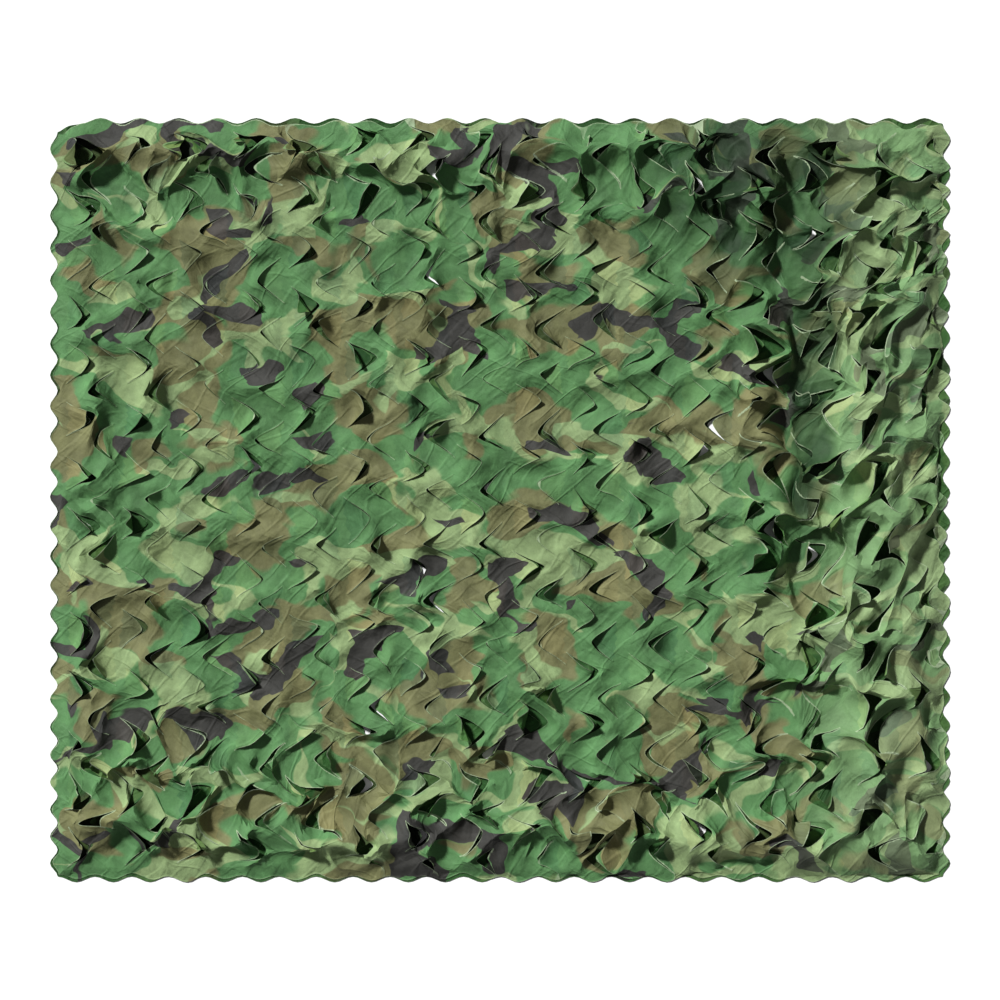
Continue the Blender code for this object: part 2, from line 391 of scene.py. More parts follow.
@dataclass
class Lie:
    """How the front ply lies: its ridges, troughs, ripples and creases.

    Ripples and patches are noises with so many to a metre. The lines of the
    folds wander by a broad and a fine noise, each with its scale, its
    strength and its two layers.
    """

    calm_level: float = 0.007
    calm_ripple: float = 0.006
    loose_ripple: float = 0.016
    ripples: tuple[float, float] = (8.5, 11.0)
    calm_looseness: float = 0.30
    least_looseness: float = 0.12
    patchiness: float = 0.30
    patches: float = 3.4
    patch_layer: float = 5.5
    slack_spread: float = 1.9
    wild_range: float = 0.45
    broad_wander: tuple[float, float, tuple] = (4.6, 0.026, (2.2, 6.6))
    fine_wander: tuple[float, float, tuple] = (13.0, 0.016, (9.1, 14.4))
    folds: tuple[Fold, ...] = (
        #    x0      y0      x1      y1      width   rise    looseness
        Fold(0.705, 0.640, 0.725, -0.700, 0.105, 0.034, 0.36),
        Fold(0.655, 0.420, 0.650, -0.080, 0.026, 0.010, 0.10),
        Fold(0.606, 0.760, 0.612, -0.120, 0.050, -0.040, 0.90),
        Fold(0.610, -0.120, 0.622, -0.620, 0.036, -0.018, 0.50),
        Fold(0.512, 0.720, 0.535, -0.150, 0.038, 0.030, 0.30),
        Fold(0.410, 0.690, 0.560, 0.500, 0.062, -0.016, 0.85),
        Fold(0.330, 0.700, 0.480, 0.450, 0.035, 0.016, 0.10),
        Fold(-0.820, 0.670, 0.420, 0.690, 0.040, 0.017, 0.80),
        Fold(-0.820, 0.590, 0.300, 0.610, 0.026, -0.008, 0.20),
        Fold(-0.820, -0.640, 0.640, -0.660, 0.042, 0.018, 0.80),
        Fold(-0.820, -0.540, 0.560, -0.560, 0.034, -0.007, 0.40),
        Fold(-0.800, 0.300, -0.790, -0.450, 0.040, 0.008, 0.12),
        Fold(0.170, 0.240, 0.460, -0.420, 0.045, 0.009, 0.12),
        Fold(-0.120, -0.300, 0.250, -0.470, 0.040, 0.008, 0.10),
    )

    crumples: tuple[Crumple, ...] = (
        #       angle  wavelength steep wander layer calm
        Crumple(82.0, 0.150, 0.42, 0.9, 3.1, 0.55),
        Crumple(12.0, 0.125, 0.36, 0.9, 8.4, 0.55),
        Crumple(124.0, 0.088, 0.46, 1.1, 12.9, 0.40),
        Crumple(52.0, 0.066, 0.52, 1.1, 17.3, 0.22),
        Crumple(-24.0, 0.047, 0.46, 1.2, 22.6, 0.12),
    )

    def crumpled(self, places: np.ndarray) -> np.ndarray:
        """Return how far the creases move each place.

        Args:
            places: rows of x, y.

        Returns:
            Rows of x, y, z.
        """
        wild = np.clip((self.looseness(places) - self.calm_looseness) / self.wild_range, 0, 1)
        total = np.zeros((len(places), 3))
        for crumple in self.crumples:
            strength = crumple.calm + (1 - crumple.calm) * wild
            shift, rise = crumple.shift(places)
            total[:, :2] += shift * strength[:, None]
            total[:, 2] += rise * strength
        return total

    def nearness(self, places: np.ndarray, fold: Fold, spread: float = 1.0) -> np.ndarray:
        """Return 1 on the line of a fold, falling to 0 away from it.

        Args:
            places: rows of x, y.
            fold: the fold.
            spread: how many times the fold's own width to reach.

        Returns:
            A share for each place.
        """
        start = np.array((fold.x0, fold.y0))
        along = np.array((fold.x1, fold.y1)) - start
        offset = places - start + self.wander(places)
        share = np.clip(offset @ along / (along @ along), 0, 1)
        distance = np.hypot(*(offset - np.outer(share, along)).T)
        return np.exp(-((distance / (fold.width * spread)) ** 2))

    def wander(self, places: np.ndarray) -> np.ndarray:
        """Return how far the lines of the folds wander at each place.

        Args:
            places: rows of x, y.

        Returns:
            Rows of x, y.
        """
        total = np.zeros((len(places), 2))
        for scale, strength, layers in (self.broad_wander, self.fine_wander):
            total += strength * np.stack([noise_at(places * scale, layer) for layer in layers], 1)
        return total

    def looseness(self, places: np.ndarray) -> np.ndarray:
        """Return how loosely the cloth lies at each place.

        Args:
            places: rows of x, y.

        Returns:
            A share for each place, 1 where it is loosest.
        """
        patch = noise_at(places * self.patches, self.patch_layer)
        total = self.calm_looseness + self.patchiness * patch
        for fold in self.folds:
            total += fold.looseness * self.nearness(places, fold, self.slack_spread)
        return np.clip(total, self.least_looseness, 1)

    def rise(self, places: np.ndarray) -> np.ndarray:
        """Return how far the cloth stands above its lowest level.

        Args:
            places: rows of x, y.

        Returns:
            A height for each place.
        """
        total = np.full(len(places), self.calm_level)
        for fold in self.folds:
            total += fold.rise * self.nearness(places, fold)
        across, along = self.ripples
        ripple = noise_at(places * (across, along), SEED)
        height = self.calm_ripple
        height = height + self.loose_ripple * (self.looseness(places) - self.calm_looseness)
        return np.maximum(0, total + height * ripple)


def noise_at(places: np.ndarray, layer: float) -> np.ndarray:
    """Return smooth noise, from about -1 to 1.

    Args:
        places: rows of x, y, already scaled.
        layer: which of many unlike noises to read.

    Returns:
        A number for each place.
    """
    return np.array([noise.noise(Vector((x, y, layer))) for x, y in places.tolist()])


@dataclass
class Lattice:
    """The columns and rows of slits, and how their leaves lie.

    Spreads and ranges are what the random draws come from. Turns, creases and
    swirls are in degrees.
    """

    outline: Outline
    lie: Lie
    column_pitch: float = 0.1097
    columns: int = 16
    first_column: float = -0.801
    row_pitch: float = 0.1050
    rows_each_way: int = 8
    row_level: float = -0.027
    row_slant: float = 0.034
    edge_margin: float = 0.004
    jitter: float = 0.0045
    reach: float = 0.047
    half_width: float = 0.037
    size_spread: tuple[float, float] = (0.90, 1.06)
    turn_spread: float = 6.0
    openness_spread: tuple[float, float] = (0.35, 1.00)
    lift_spread: tuple[float, float] = (0.60, 1.00)
    smallest: float = 0.36
    widest_gap: float = 0.047
    least_gap: float = 0.006
    slit_width: float = 0.0027
    print_slip: tuple[float, float] = (-0.013, 0.016)
    loose_slip: float = 2.2
    calm_swirl: tuple[float, float] = (-9.0, 9.0)
    loose_swirl: tuple[float, float] = (-16.0, 34.0)
    bared_range: tuple[float, float] = (0.011, 0.020)
    bared_share: float = 0.15
    wild_range: float = 0.40
    calm_force: float = 0.95
    loose_force: float = 0.30
    calm_swing: float = 0.005
    loose_swing: float = 0.014
    crease_spread: float = 26.0
    skew_spread: float = 0.9
    cup_spread: tuple[float, float] = (-2.0, 4.5)
    lean_spread: float = 0.9

    def leaves(self) -> list[Leaf]:
        """Return the leaves of the front ply, small ones at the edge among them.

        The places are drawn as the solids draw theirs, with the solids' draw
        for a leaf's lift too, so that both have the same lattice.

        Returns:
            The leaves, column by column.
        """
        turn_spread = math.radians(self.turn_spread)
        place_dice = random.Random(SEED)
        pose_dice = random.Random(SEED + 1)
        leaves = []
        for column in range(self.columns + 1):
            for half_row in range(-2 * self.rows_each_way, 2 * self.rows_each_way):
                x = self.first_column + column * self.column_pitch
                x += place_dice.uniform(-self.jitter, self.jitter)
                y = self.row_level + self.row_slant * x + half_row * self.row_pitch / 2
                y += place_dice.uniform(-self.jitter, self.jitter)
                facing = 1 if half_row % 2 == 0 else -1
                reach = self.reach * place_dice.uniform(*self.size_spread)
                half_width = self.half_width * place_dice.uniform(*self.size_spread)
                openness = place_dice.uniform(*self.openness_spread)
                place_dice.uniform(*self.lift_spread)
                turn = place_dice.uniform(-turn_spread, turn_spread)
                size = self.room(x, y, facing, reach, half_width)
                if size < self.smallest:
                    continue
                loose = float(self.lie.looseness(np.array([(x, y)]))[0])
                leaves.append(
                    self.posed(x, y, facing, reach * size, half_width * size,
                               turn, openness, loose, pose_dice)
                )
        return leaves

    def room(self, x: float, y: float, facing: int, reach: float, half_width: float) -> float:
        """Return the size of leaf that fits inside the edge.

        Args:
            x, y: the place of the tip.
            facing: 1 where the tip points to +X, -1 where it points to -X.
            reach, half_width: the full size of the slit.

        Returns:
            A share of the full size, 0 where the tip itself is too near.
        """
        right, top = self.outline.half_sides()
        right -= self.edge_margin
        top -= self.edge_margin
        if abs(x) > right or abs(y) > top:
            return 0.0
        along = (top - abs(y)) / half_width
        across = (right + facing * x) / reach
        return min(1.0, along, across)

    def posed(
        self, x: float, y: float, facing: int, reach: float, half_width: float,
        turn: float, openness: float, loose: float, dice: random.Random,
    ) -> Leaf:
        """Return a leaf with its lie drawn for how loose the cloth is there.

        Args:
            x, y: the place of the tip.
            facing: 1 where the tip points to +X, -1 where it points to -X.
            reach, half_width: the size of the slit.
            turn: how far the slit is turned in the cloth.
            openness: how far the slit stands open, among its like.
            loose: how loosely the cloth lies there, from 0 to 1.
            dice: where the draws come from.

        Returns:
            The leaf.
        """
        wild = min(1.0, max(0.0, loose - self.lie.calm_looseness) / self.wild_range)
        weights = [kind.calm + (kind.loose - kind.calm) * wild for kind in HABITS.values()]
        habit = dice.choices(list(HABITS.values()), weights)[0]
        force = self.calm_force + self.loose_force * wild
        slopes = [
            math.radians(force * dice.uniform(*span))
            for span in (habit.root, habit.middle, habit.tip)
        ]
        widest = max(self.least_gap, self.widest_gap * loose * openness)
        most_slip = 1 + self.loose_slip * wild
        bared_chance = self.bared_share * habit.gap[1]
        return Leaf(
            x=x, y=y, facing=facing, reach=reach, half_width=half_width, turn=turn,
            slopes=tuple(slopes),
            crease=math.radians(dice.uniform(-self.crease_spread, self.crease_spread)),
            skew=dice.uniform(-self.skew_spread, self.skew_spread),
            twist=math.radians(force * dice.uniform(*habit.twist) * dice.choice((-1, 1))),
            swing=dice.uniform(-1, 1) * (self.calm_swing + self.loose_swing * wild),
            cup=dice.uniform(*self.cup_spread) * force,
            gap=self.slit_width + widest * dice.uniform(*habit.gap),
            dip=MILLIMETRE * force * dice.uniform(*habit.dip),
            lean=dice.uniform(-self.lean_spread, self.lean_spread),
            shade=dice.random(),
            swirl=math.radians(
                dice.uniform(*self.calm_swirl) + wild * dice.uniform(*self.loose_swirl)
            ),
            bared=dice.uniform(*self.bared_range) * (dice.random() < bared_chance),
            slip=tuple(most_slip * dice.uniform(*self.print_slip) for _ in "xy"),
        )


class ClothPattern:
    """The flat pattern of a ply: a fine mesh that is slit along every cut.

    Loose points lie on rows of equal triangles, each moved at random by a
    share of their spacing, and clear of the cuts by another share.
    """

    shake: float = 0.1
    clear: float = 0.52
    merge_distance: float = 1e-7
    rim_points: int = 6

    def __init__(self, outline: Outline, leaves: list[Leaf], spacing: float,
                 segments: int, edge_steps: int) -> None:
        """Lay out the pattern and cut it.

        Args:
            outline: the edge of the cloth.
            leaves: the slits to cut.
            spacing: the distance between the mesh's loose points.
            segments: the number of straight stretches in each slit.
            edge_steps: the number of points in each scallop.
        """
        self.leaves = leaves
        self.cuts = [leaf.cut(segments) for leaf in leaves]
        rim = outline.points(edge_steps)
        self.rim = rim
        loose = self.loose_points(outline, rim, spacing)
        self.mesh_the_cloth(rim, loose)
        self.part_the_slits()
        self.edge_distance = self.distance_to_cut()

    def loose_points(self, outline: Outline, rim: np.ndarray, spacing: float) -> np.ndarray:
        """Return points spread over the cloth, clear of the cuts and the edge.

        Args:
            outline: the edge of the cloth.
            rim: the points of that edge.
            spacing: the distance between the loose points.

        Returns:
            Rows of x, y.
        """
        fixed = np.vstack([rim, *self.cuts])
        tree = kdtree.KDTree(len(fixed))
        for index, (x, y) in enumerate(fixed.tolist()):
            tree.insert((x, y, 0), index)
        tree.balance()
        right, top = outline.half_sides()
        row_height = spacing * math.sqrt(3) / 2
        rows = int(2 * top / row_height)
        across = int(2 * right / spacing)
        dice = np.random.default_rng(SEED)
        kept = []
        for row in range(rows + 1):
            shift = 0.5 * spacing * (row % 2)
            xs = -right + shift + spacing * np.arange(across + 1)
            ys = np.full(len(xs), -top + row_height * row)
            shaken = dice.uniform(-self.shake, self.shake, (len(xs), 2)) * spacing
            places = np.stack([xs, ys], 1) + shaken
            for x, y in places.tolist():
                if abs(x) > right or abs(y) > top:
                    continue
                if tree.find((x, y, 0))[2] > self.clear * spacing:
                    kept.append((x, y))
        return np.array(kept)

    def mesh_the_cloth(self, rim: np.ndarray, loose: np.ndarray) -> None:
        """Fill the outline with triangles whose sides follow the cuts.

        Args:
            rim: the points of the edge.
            loose: the points inside it.
        """
        points = [rim, *self.cuts, loose]
        edges = [(i, (i + 1) % len(rim)) for i in range(len(rim))]
        first = len(rim)
        starts = []
        for cut in self.cuts:
            starts.append(first)
            edges += [(first + i, first + i + 1) for i in range(len(cut) - 1)]
            first += len(cut)
        places = [Vector(point) for point in np.vstack(points).tolist()]
        inside_only = 1
        result = geometry.delaunay_2d_cdt(places, edges, [], inside_only, self.merge_distance)
        made, _, faces, sources = result[:4]
        self.flat = np.array([tuple(point) for point in made])
        self.faces = np.array([tuple(face) for face in faces], dtype=np.int64)
        place_of = np.full(len(places), -1)
        for index, source in enumerate(sources):
            for origin in source:
                place_of[origin] = index
        self.cut_points = [
            place_of[start:start + len(cut)] for start, cut in zip(starts, self.cuts)
        ]

    def part_the_slits(self) -> None:
        """Give each slit two lips, and find the leaf that each point is on."""
        owner_of_face = self.owners(self.flat[self.faces].mean(1))
        count = len(self.flat)
        slit_of_point = np.full(count, -1)
        twin_of_point = np.full(count, -1)
        twins = []
        for index, points in enumerate(self.cut_points):
            inner = points[1:-1]
            slit_of_point[inner] = index
            twin_of_point[inner] = count + len(twins) + np.arange(len(inner))
            twins += inner.tolist()
        slit = slit_of_point[self.faces]
        on_leaf = (slit >= 0) & (slit == owner_of_face[:, None])
        self.faces = np.where(on_leaf, twin_of_point[self.faces], self.faces)
        owner = self.owners(self.flat)
        ends = np.unique(np.concatenate(self.cut_points))
        owner[ends] = -1
        self.owner = np.concatenate([owner, slit_of_point[twins]])
        self.flat = np.vstack([self.flat, self.flat[twins]])
        self.face_owner = owner_of_face

    def owners(self, places: np.ndarray) -> np.ndarray:
        """Return which leaf each place is on.

        Args:
            places: rows of x, y.

        Returns:
            The index of the leaf for each place, or -1 between the leaves.
        """
        owner = np.full(len(places), -1)
        order = np.argsort(places[:, 0])
        sorted_x = places[order, 0]
        for index, (leaf, cut) in enumerate(zip(self.leaves, self.cuts)):
            reach = 1.2 * (leaf.reach + leaf.half_width)
            low, high = np.searchsorted(sorted_x, (leaf.x - reach, leaf.x + reach))
            near = order[low:high]
            near = near[np.abs(places[near, 1] - leaf.y) < reach]
            beyond, side = leaf.local(places[near])
            cut_beyond, cut_side = leaf.local(cut)
            lip = np.interp(side, cut_side, cut_beyond)
            inside = (beyond < lip) & (beyond > -leaf.reach) & (np.abs(side) < leaf.half_width)
            owner[near[inside]] = index
        return owner

    def distance_to_cut(self) -> np.ndarray:
        """Return how far each point lies from the nearest cut edge of the cloth.

        Returns:
            A distance for each point, up to the range of the pale rim.
        """
        far = RIM_RANGE
        distance = np.full(len(self.flat), far)
        order = np.argsort(self.flat[:, 0])
        sorted_x = self.flat[order, 0]
        closed_rim = np.vstack([self.rim, self.rim[:1]])
        starts = range(0, len(closed_rim) - 1, self.rim_points)
        stretches = [*self.cuts, *(closed_rim[i:i + self.rim_points + 1] for i in starts)]
        for line in stretches:
            low_x, high_x = line[:, 0].min() - far, line[:, 0].max() + far
            low, high = np.searchsorted(sorted_x, (low_x, high_x))
            near = order[low:high]
            y = self.flat[near, 1]
            near = near[(y > line[:, 1].min() - far) & (y < line[:, 1].max() + far)]
            start, along = line[:-1], np.diff(line, axis=0)
            offset = self.flat[near][:, None] - start
            share = np.clip((offset * along).sum(2) / (along * along).sum(1), 0, 1)
            gap = np.hypot(*np.moveaxis(offset - share[..., None] * along, 2, 0)).min(1)
            distance[near] = np.minimum(distance[near], gap)
        return distance


@dataclass
class Ply:
    """One ply of the net: a thin sheet with a face, an inner side and cut edges.

    The spacing, segments and edge steps are those of its pattern. The cloth between the leaves has a
    narrower pale rim than the leaves do, whose lifted lips take a wider painted highlight.
    """

    name: str
    node: str
    outline: Outline
    leaves: list[Leaf]
    spacing: float
    segments: int
    edge_steps: int
    between_leaves: float = 1.5
    even_tone: float = 0.5
    pattern: ClothPattern = field(init=False)
    places: np.ndarray = field(init=False)

    def build(self) -> bpy.types.Object:
        """Make the ply's mesh where it lies, and give it its thickness.

        Returns:
            The ply, linked into the scene.
        """
        self.pattern = ClothPattern(
            self.outline, self.leaves, self.spacing, self.segments, self.edge_steps
        )
        self.places = self.laid()
        mesh = bpy.data.meshes.new(self.name)
        mesh.from_pydata(self.places.tolist(), [], self.pattern.faces.tolist())
        mesh.polygons.foreach_set("use_smooth", [True] * len(mesh.polygons))
        self.sharpen_the_rim(mesh)
        corners = self.pattern.faces.ravel()
        self.write_map(mesh, "Pattern", self.print_places()[corners])
        self.write_map(mesh, "Edge", self.edge_and_tone(corners))
        piece = bpy.data.objects.new(self.name, mesh)
        bpy.context.scene.collection.objects.link(piece)
        thickness = piece.modifiers.new("Cloth", "SOLIDIFY")
        thickness.thickness = CLOTH_THICKNESS
        thickness.offset = self.thickness_offset()
        thickness.use_even_offset = False
        thickness.material_offset = self.other_side()
        thickness.material_offset_rim = Side.CUT.value
        return piece

    def edge_and_tone(self, corners: np.ndarray) -> np.ndarray:
        """Return what the finishes read of the cut edge and of the leaf's tone.

        Args:
            corners: the point at each corner of the mesh's triangles.

        Returns:
            For each corner, its distance from the cut edge as a share of the
            rim's range, and its leaf's shade.
        """
        on_leaf = self.pattern.face_owner >= 0
        shades = np.array([leaf.shade for leaf in self.leaves])
        tone = np.where(on_leaf, shades[self.pattern.face_owner], self.even_tone)
        bare = np.repeat(np.where(on_leaf, 1.0, self.between_leaves), 3)
        distance = self.pattern.edge_distance[corners]
        edge = bare * self.rim_narrowness()[corners] * distance / RIM_RANGE
        return np.stack([edge, np.repeat(tone, 3)], 1)

    def print_places(self) -> np.ndarray:
        """Return where each point reads the print.

        The cloth between the leaves is drawn up beneath them, so a leaf's
        print has slipped along by the time that it reaches the tip.

        Returns:
            Rows of x, y in the flat cloth.
        """
        places = self.pattern.flat.copy()
        for index, leaf in enumerate(self.leaves):
            mine = self.pattern.owner == index
            beyond, _ = leaf.local(self.pattern.flat[mine])
            share = np.clip(1 + beyond / leaf.reach, 0, 1)
            places[mine] += np.outer(share**2, leaf.slip)
        return places

    @staticmethod
    def sharpen_the_rim(mesh: bpy.types.Mesh) -> None:
        """Mark creases and cut edges as sharp, so that shading breaks there.

        Args:
            mesh: the mesh of a ply, before its thickness.
        """
        mesh.set_sharp_from_angle(angle=CREASE_ANGLE)
        edge_of_corner = np.zeros(len(mesh.loops), dtype=np.int32)
        mesh.loops.foreach_get("edge_index", edge_of_corner)
        sides = np.bincount(edge_of_corner, minlength=len(mesh.edges))
        sharp = mesh.attributes.get("sharp_edge")
        if sharp is None:
            sharp = mesh.attributes.new("sharp_edge", "BOOLEAN", "EDGE")
        creased = np.zeros(len(mesh.edges), dtype=bool)
        sharp.data.foreach_get("value", creased)
        sharp.data.foreach_set("value", creased | (sides == 1))

    def rim_narrowness(self) -> np.ndarray:
        """Return how narrow the pale rim is at each point, 1 where it is plain."""
        return np.ones(len(self.pattern.flat))

    def thickness_offset(self) -> float:
        """Return which way the thickness goes from the modelled surface."""
        return -1.0

    def other_side(self) -> int:
        """Return the step from the upper side's material slot to the lower one's."""
        return Side.INNER.value - Side.FACE.value

    @staticmethod
    def write_map(mesh: bpy.types.Mesh, name: str, values: np.ndarray) -> None:
        """Keep two numbers for every corner of a mesh, as a UV map."""
        layer = mesh.uv_layers.new(name=name, do_init=False)
        layer.uv.foreach_set("vector", values.astype(np.float32).ravel())

    def laid(self) -> np.ndarray:
        """Return the place of every point of the pattern, as rows of x, y, z."""
        raise NotImplementedError


@dataclass
class FrontPly(Ply):
    """The upper ply, with its folds and its lifted, tucked and twisted leaves.

    Heights are flattened softly above the knee and stay under the highest.
    The lips of a slit dip and buckle within their reaches of it. The edge is
    drawn in by the right, left, top and near sides' own lengths, and the
    strip's slant fades towards the near side and towards the far one.
    """

    lie: Lie = field(default_factory=Lie)
    calm_rim: float = 1.65
    rim_widening: float = 1.20
    rim_range: float = 0.4
    lowest: float = 0.0046
    sink: float = 0.0022
    softness: float = 0.003
    knee: float = 0.050
    highest: float = 0.077
    lip_range: float = 0.075
    lip_reach: float = 0.020
    buckle: float = 0.40
    buckle_place: float = 0.024
    buckle_reach: float = 0.012
    swirl_reach: float = 0.037
    swirl_range: float = 2.2
    leaf_middle: float = 0.45
    crinkle: float = 0.0026
    crinkles: tuple[float, float] = (44, 38)
    crinkle_layer: float = 7.3
    border: float = 0.010
    border_height: float = 0.0023
    edge_share: float = 0.30
    edge_reach: float = 0.050
    sway: float = 0.0045
    loose_sway: float = 0.0130
    sway_margin: float = 0.06
    fine_sway: float = 0.7
    strip_start: float = 0.60
    slant: float = 0.37
    slant_fades: tuple[float, float] = (0.72, 0.44)
    drawn_in: tuple[float, float, float, float] = (0.011, 0.004, 0.008, 0.005)
    draw_reach: float = 0.05
    draws: float = 18.0
    draw_layer: float = 4.4
    draw_unevenness: float = 2.0
    draw_middle: float = 0.45
    most_drawn: float = 1.5
    edge_slope: float = 0.80

    def laid(self) -> np.ndarray:
        """Return the place of every point, folds, ripples and leaves together.

        Returns:
            Rows of x, y, z.
        """
        flat = self.pattern.flat
        lying = self.edge_share + (1 - self.edge_share) * self.inside(flat, self.edge_reach)
        places = np.column_stack([flat, self.lowest + self.lie.rise(flat) * lying])
        self.part_the_lips(places)
        self.swirl_the_cloth(places)
        self.crinkle_the_cloth(places)
        places[:, 2] = np.maximum(places[:, 2], self.lowest)
        self.bend_the_leaves(places)
        self.keep_in_height(places)
        inner = self.inside(flat, self.border)
        places[:, 2] = self.border_height + inner * (places[:, 2] - self.border_height)
        self.sway_the_cloth(places)
        self.slant_the_strip(places)
        self.draw_in_the_edge(places)
        self.lie_down_at_the_edge(places)
        return places

    def rim_narrowness(self) -> np.ndarray:
        """Return how narrow the pale rim is at each point, least where the cloth is loose.

        Returns:
            A factor for the distance from the cut edge, at each point.
        """
        loose = self.lie.looseness(self.pattern.flat) - self.lie.calm_looseness
        return self.calm_rim - self.rim_widening * np.clip(loose / self.rim_range, 0, 1)

    def part_the_lips(self, places: np.ndarray) -> None:
        """Push the cloth beyond each leaf away from it, sink it, and buckle it.

        The cloth that is pushed away buckles up a little beyond the slit.

        Args:
            places: rows of x, y, z, which are changed.
        """
        flat = self.pattern.flat
        order = np.argsort(flat[:, 0])
        sorted_x = flat[order, 0]
        reach = self.lip_range
        for index, (leaf, cut) in enumerate(zip(self.leaves, self.pattern.cuts)):
            low, high = np.searchsorted(sorted_x, (leaf.x - reach, leaf.x + reach))
            near = order[low:high]
            near = near[np.abs(flat[near, 1] - leaf.y) < reach]
            near = near[self.pattern.owner[near] != index]
            beyond, side = leaf.local(flat[near])
            cut_beyond, cut_side = leaf.local(cut)
            past = beyond - np.interp(side, cut_side, cut_beyond)
            across = np.cos(np.clip(side / leaf.half_width, -1, 1) * math.pi / 2)
            beside = np.where(past > -1e-6, across, 0.0)
            close = beside * np.exp(-((past / self.lip_reach) ** 2))
            buckled = (past - self.buckle_place) / self.buckle_reach
            buckle = beside * np.exp(-(buckled**2))
            towards, _ = leaf.axes()
            places[near, :2] += np.outer(PUSH_AWAY * max(leaf.gap, 0) * close, towards)
            dip = leaf.dip * (1 + leaf.lean * side / leaf.half_width)
            places[near, 2] += self.buckle * max(leaf.gap, 0) * buckle - dip * close

    def swirl_the_cloth(self, places: np.ndarray) -> None:
        """Turn the cloth round each leaf a little, as it is when it lies loose.

        Args:
            places: rows of x, y, z, which are changed.
        """
        flat = self.pattern.flat
        order = np.argsort(flat[:, 0])
        sorted_x = flat[order, 0]
        reach = self.swirl_range * self.swirl_reach
        free = self.inside(flat, self.swirl_reach)
        for leaf in self.leaves:
            towards, _ = leaf.axes()
            middle = (leaf.x, leaf.y) - self.leaf_middle * leaf.reach * towards
            low, high = np.searchsorted(sorted_x, (middle[0] - reach, middle[0] + reach))
            near = order[low:high]
            near = near[np.abs(flat[near, 1] - middle[1]) < reach]
            offset = flat[near] - middle
            away = np.hypot(*offset.T) / self.swirl_reach
            angle = leaf.swirl * np.exp(-(away**2)) * free[near]
            cosine, sine = np.cos(angle) - 1, np.sin(angle)
            places[near, 0] += cosine * offset[:, 0] - sine * offset[:, 1]
            places[near, 1] += sine * offset[:, 0] + cosine * offset[:, 1]

    def crinkle_the_cloth(self, places: np.ndarray) -> None:
        """Add the small creases that the cloth keeps from its packing.

        Args:
            places: rows of x, y, z, which are changed.
        """
        flat = self.pattern.flat
        loose = self.lie.looseness(flat)
        crease = noise_at(flat * self.crinkles, self.crinkle_layer)
        places[:, 2] += self.crinkle * crease * (0.5 + loose)
        shift = self.lie.crumpled(flat)
        places[:, :2] += shift[:, :2] * self.inside(flat, self.border)[:, None]
        places[:, 2] += shift[:, 2] * (0.5 + 0.5 * self.inside(flat, self.border))

    def bend_the_leaves(self, places: np.ndarray) -> None:
        """Bend, twist and cup every leaf about its root.

        Args:
            places: rows of x, y, z, which are changed.
        """
        flat = self.pattern.flat
        order = np.argsort(self.pattern.owner, kind="stable")
        starts = np.searchsorted(self.pattern.owner[order], np.arange(len(self.leaves) + 1))
        for index, leaf in enumerate(self.leaves):
            mine = order[starts[index]:starts[index + 1]]
            out, aside, up = leaf.bent(*leaf.local(flat[mine]))
            towards, across = leaf.axes()
            moved = (leaf.x, leaf.y) + np.outer(out, towards) + np.outer(aside, across)
            places[mine, :2] += moved - flat[mine]
            places[mine, 2] += up

    def keep_in_height(self, places: np.ndarray) -> None:
        """Flatten what would sink into the back ply or stand too high, softly.

        Args:
            places: rows of x, y, z, which are changed.
        """
        floor = self.lowest - self.sink
        height = places[:, 2] - floor
        height = 0.5 * (height + np.sqrt(height**2 + self.softness**2))
        over = np.clip(height - self.knee, 0, None)
        room = self.highest - self.knee - floor
        height = np.minimum(height, self.knee) + room * np.tanh(over / room)
        places[:, 2] = floor + height

    def inside(self, flat: np.ndarray, margin: float) -> np.ndarray:
        """Return 0 at the edge of the cloth, rising to 1 at a margin inside it.

        Args:
            flat: rows of x, y in the flat cloth.
            margin: how wide the rise is.

        Returns:
            A share for each place.
        """
        right, top = self.outline.half_sides()
        depth = np.minimum(right - np.abs(flat[:, 0]), top - np.abs(flat[:, 1]))
        return np.clip(depth / margin, 0, 1)

    def sway_the_cloth(self, places: np.ndarray) -> None:
        """Pull the lattice out of true, but not the cloth's edge.

        Each way, a broad sway and a fine one are read from layers of their own.

        Args:
            places: rows of x, y, z, which are changed.
        """
        flat = self.pattern.flat
        share = self.inside(flat, self.sway_margin)
        sway_x = noise_at(flat * (6.0, 9.0), 11.7) + self.fine_sway * noise_at(flat * 15.0, 15.1)
        sway_y = noise_at(flat * (9.0, 6.0), 13.2) + self.fine_sway * noise_at(flat * 14.0, 18.6)
        share = share * (self.sway + self.loose_sway * self.lie.looseness(flat) ** 1.5)
        places[:, 0] += share * sway_x
        places[:, 1] += share * sway_y

    def slant_the_strip(self, places: np.ndarray) -> None:
        """Draw the right strip along its own edge, so that its rows slant upwards.

        Args:
            places: rows of x, y, z, which are changed.
        """
        flat = self.pattern.flat
        _, top = self.outline.half_sides()
        across = np.clip(flat[:, 0] - self.strip_start, 0, None)
        near_fade, far_fade = self.slant_fades
        fade = np.where(flat[:, 1] < 0, near_fade, far_fade)
        free = np.clip((top - np.abs(flat[:, 1])) / fade, 0, 1)
        free = free * free * (3 - 2 * free)
        places[:, 1] += self.slant * across * free

    def draw_in_the_edge(self, places: np.ndarray) -> None:
        """Draw each side of the cloth in unevenly, so that the back ply shows beyond it.

        Args:
            places: rows of x, y, z, which are changed.
        """
        flat = self.pattern.flat
        uneven = self.draw_unevenness * noise_at(flat * self.draws, self.draw_layer)
        drawn = np.clip(self.draw_middle + uneven, 0, self.most_drawn)
        right, top = self.outline.half_sides()
        sides = ((0, right, 1), (0, right, -1), (1, top, 1), (1, top, -1))
        for (axis, half, way), most in zip(sides, self.drawn_in):
            near = np.clip((way * flat[:, axis] - half) / self.draw_reach + 1, 0, 1)
            places[:, axis] -= way * most * near * drawn

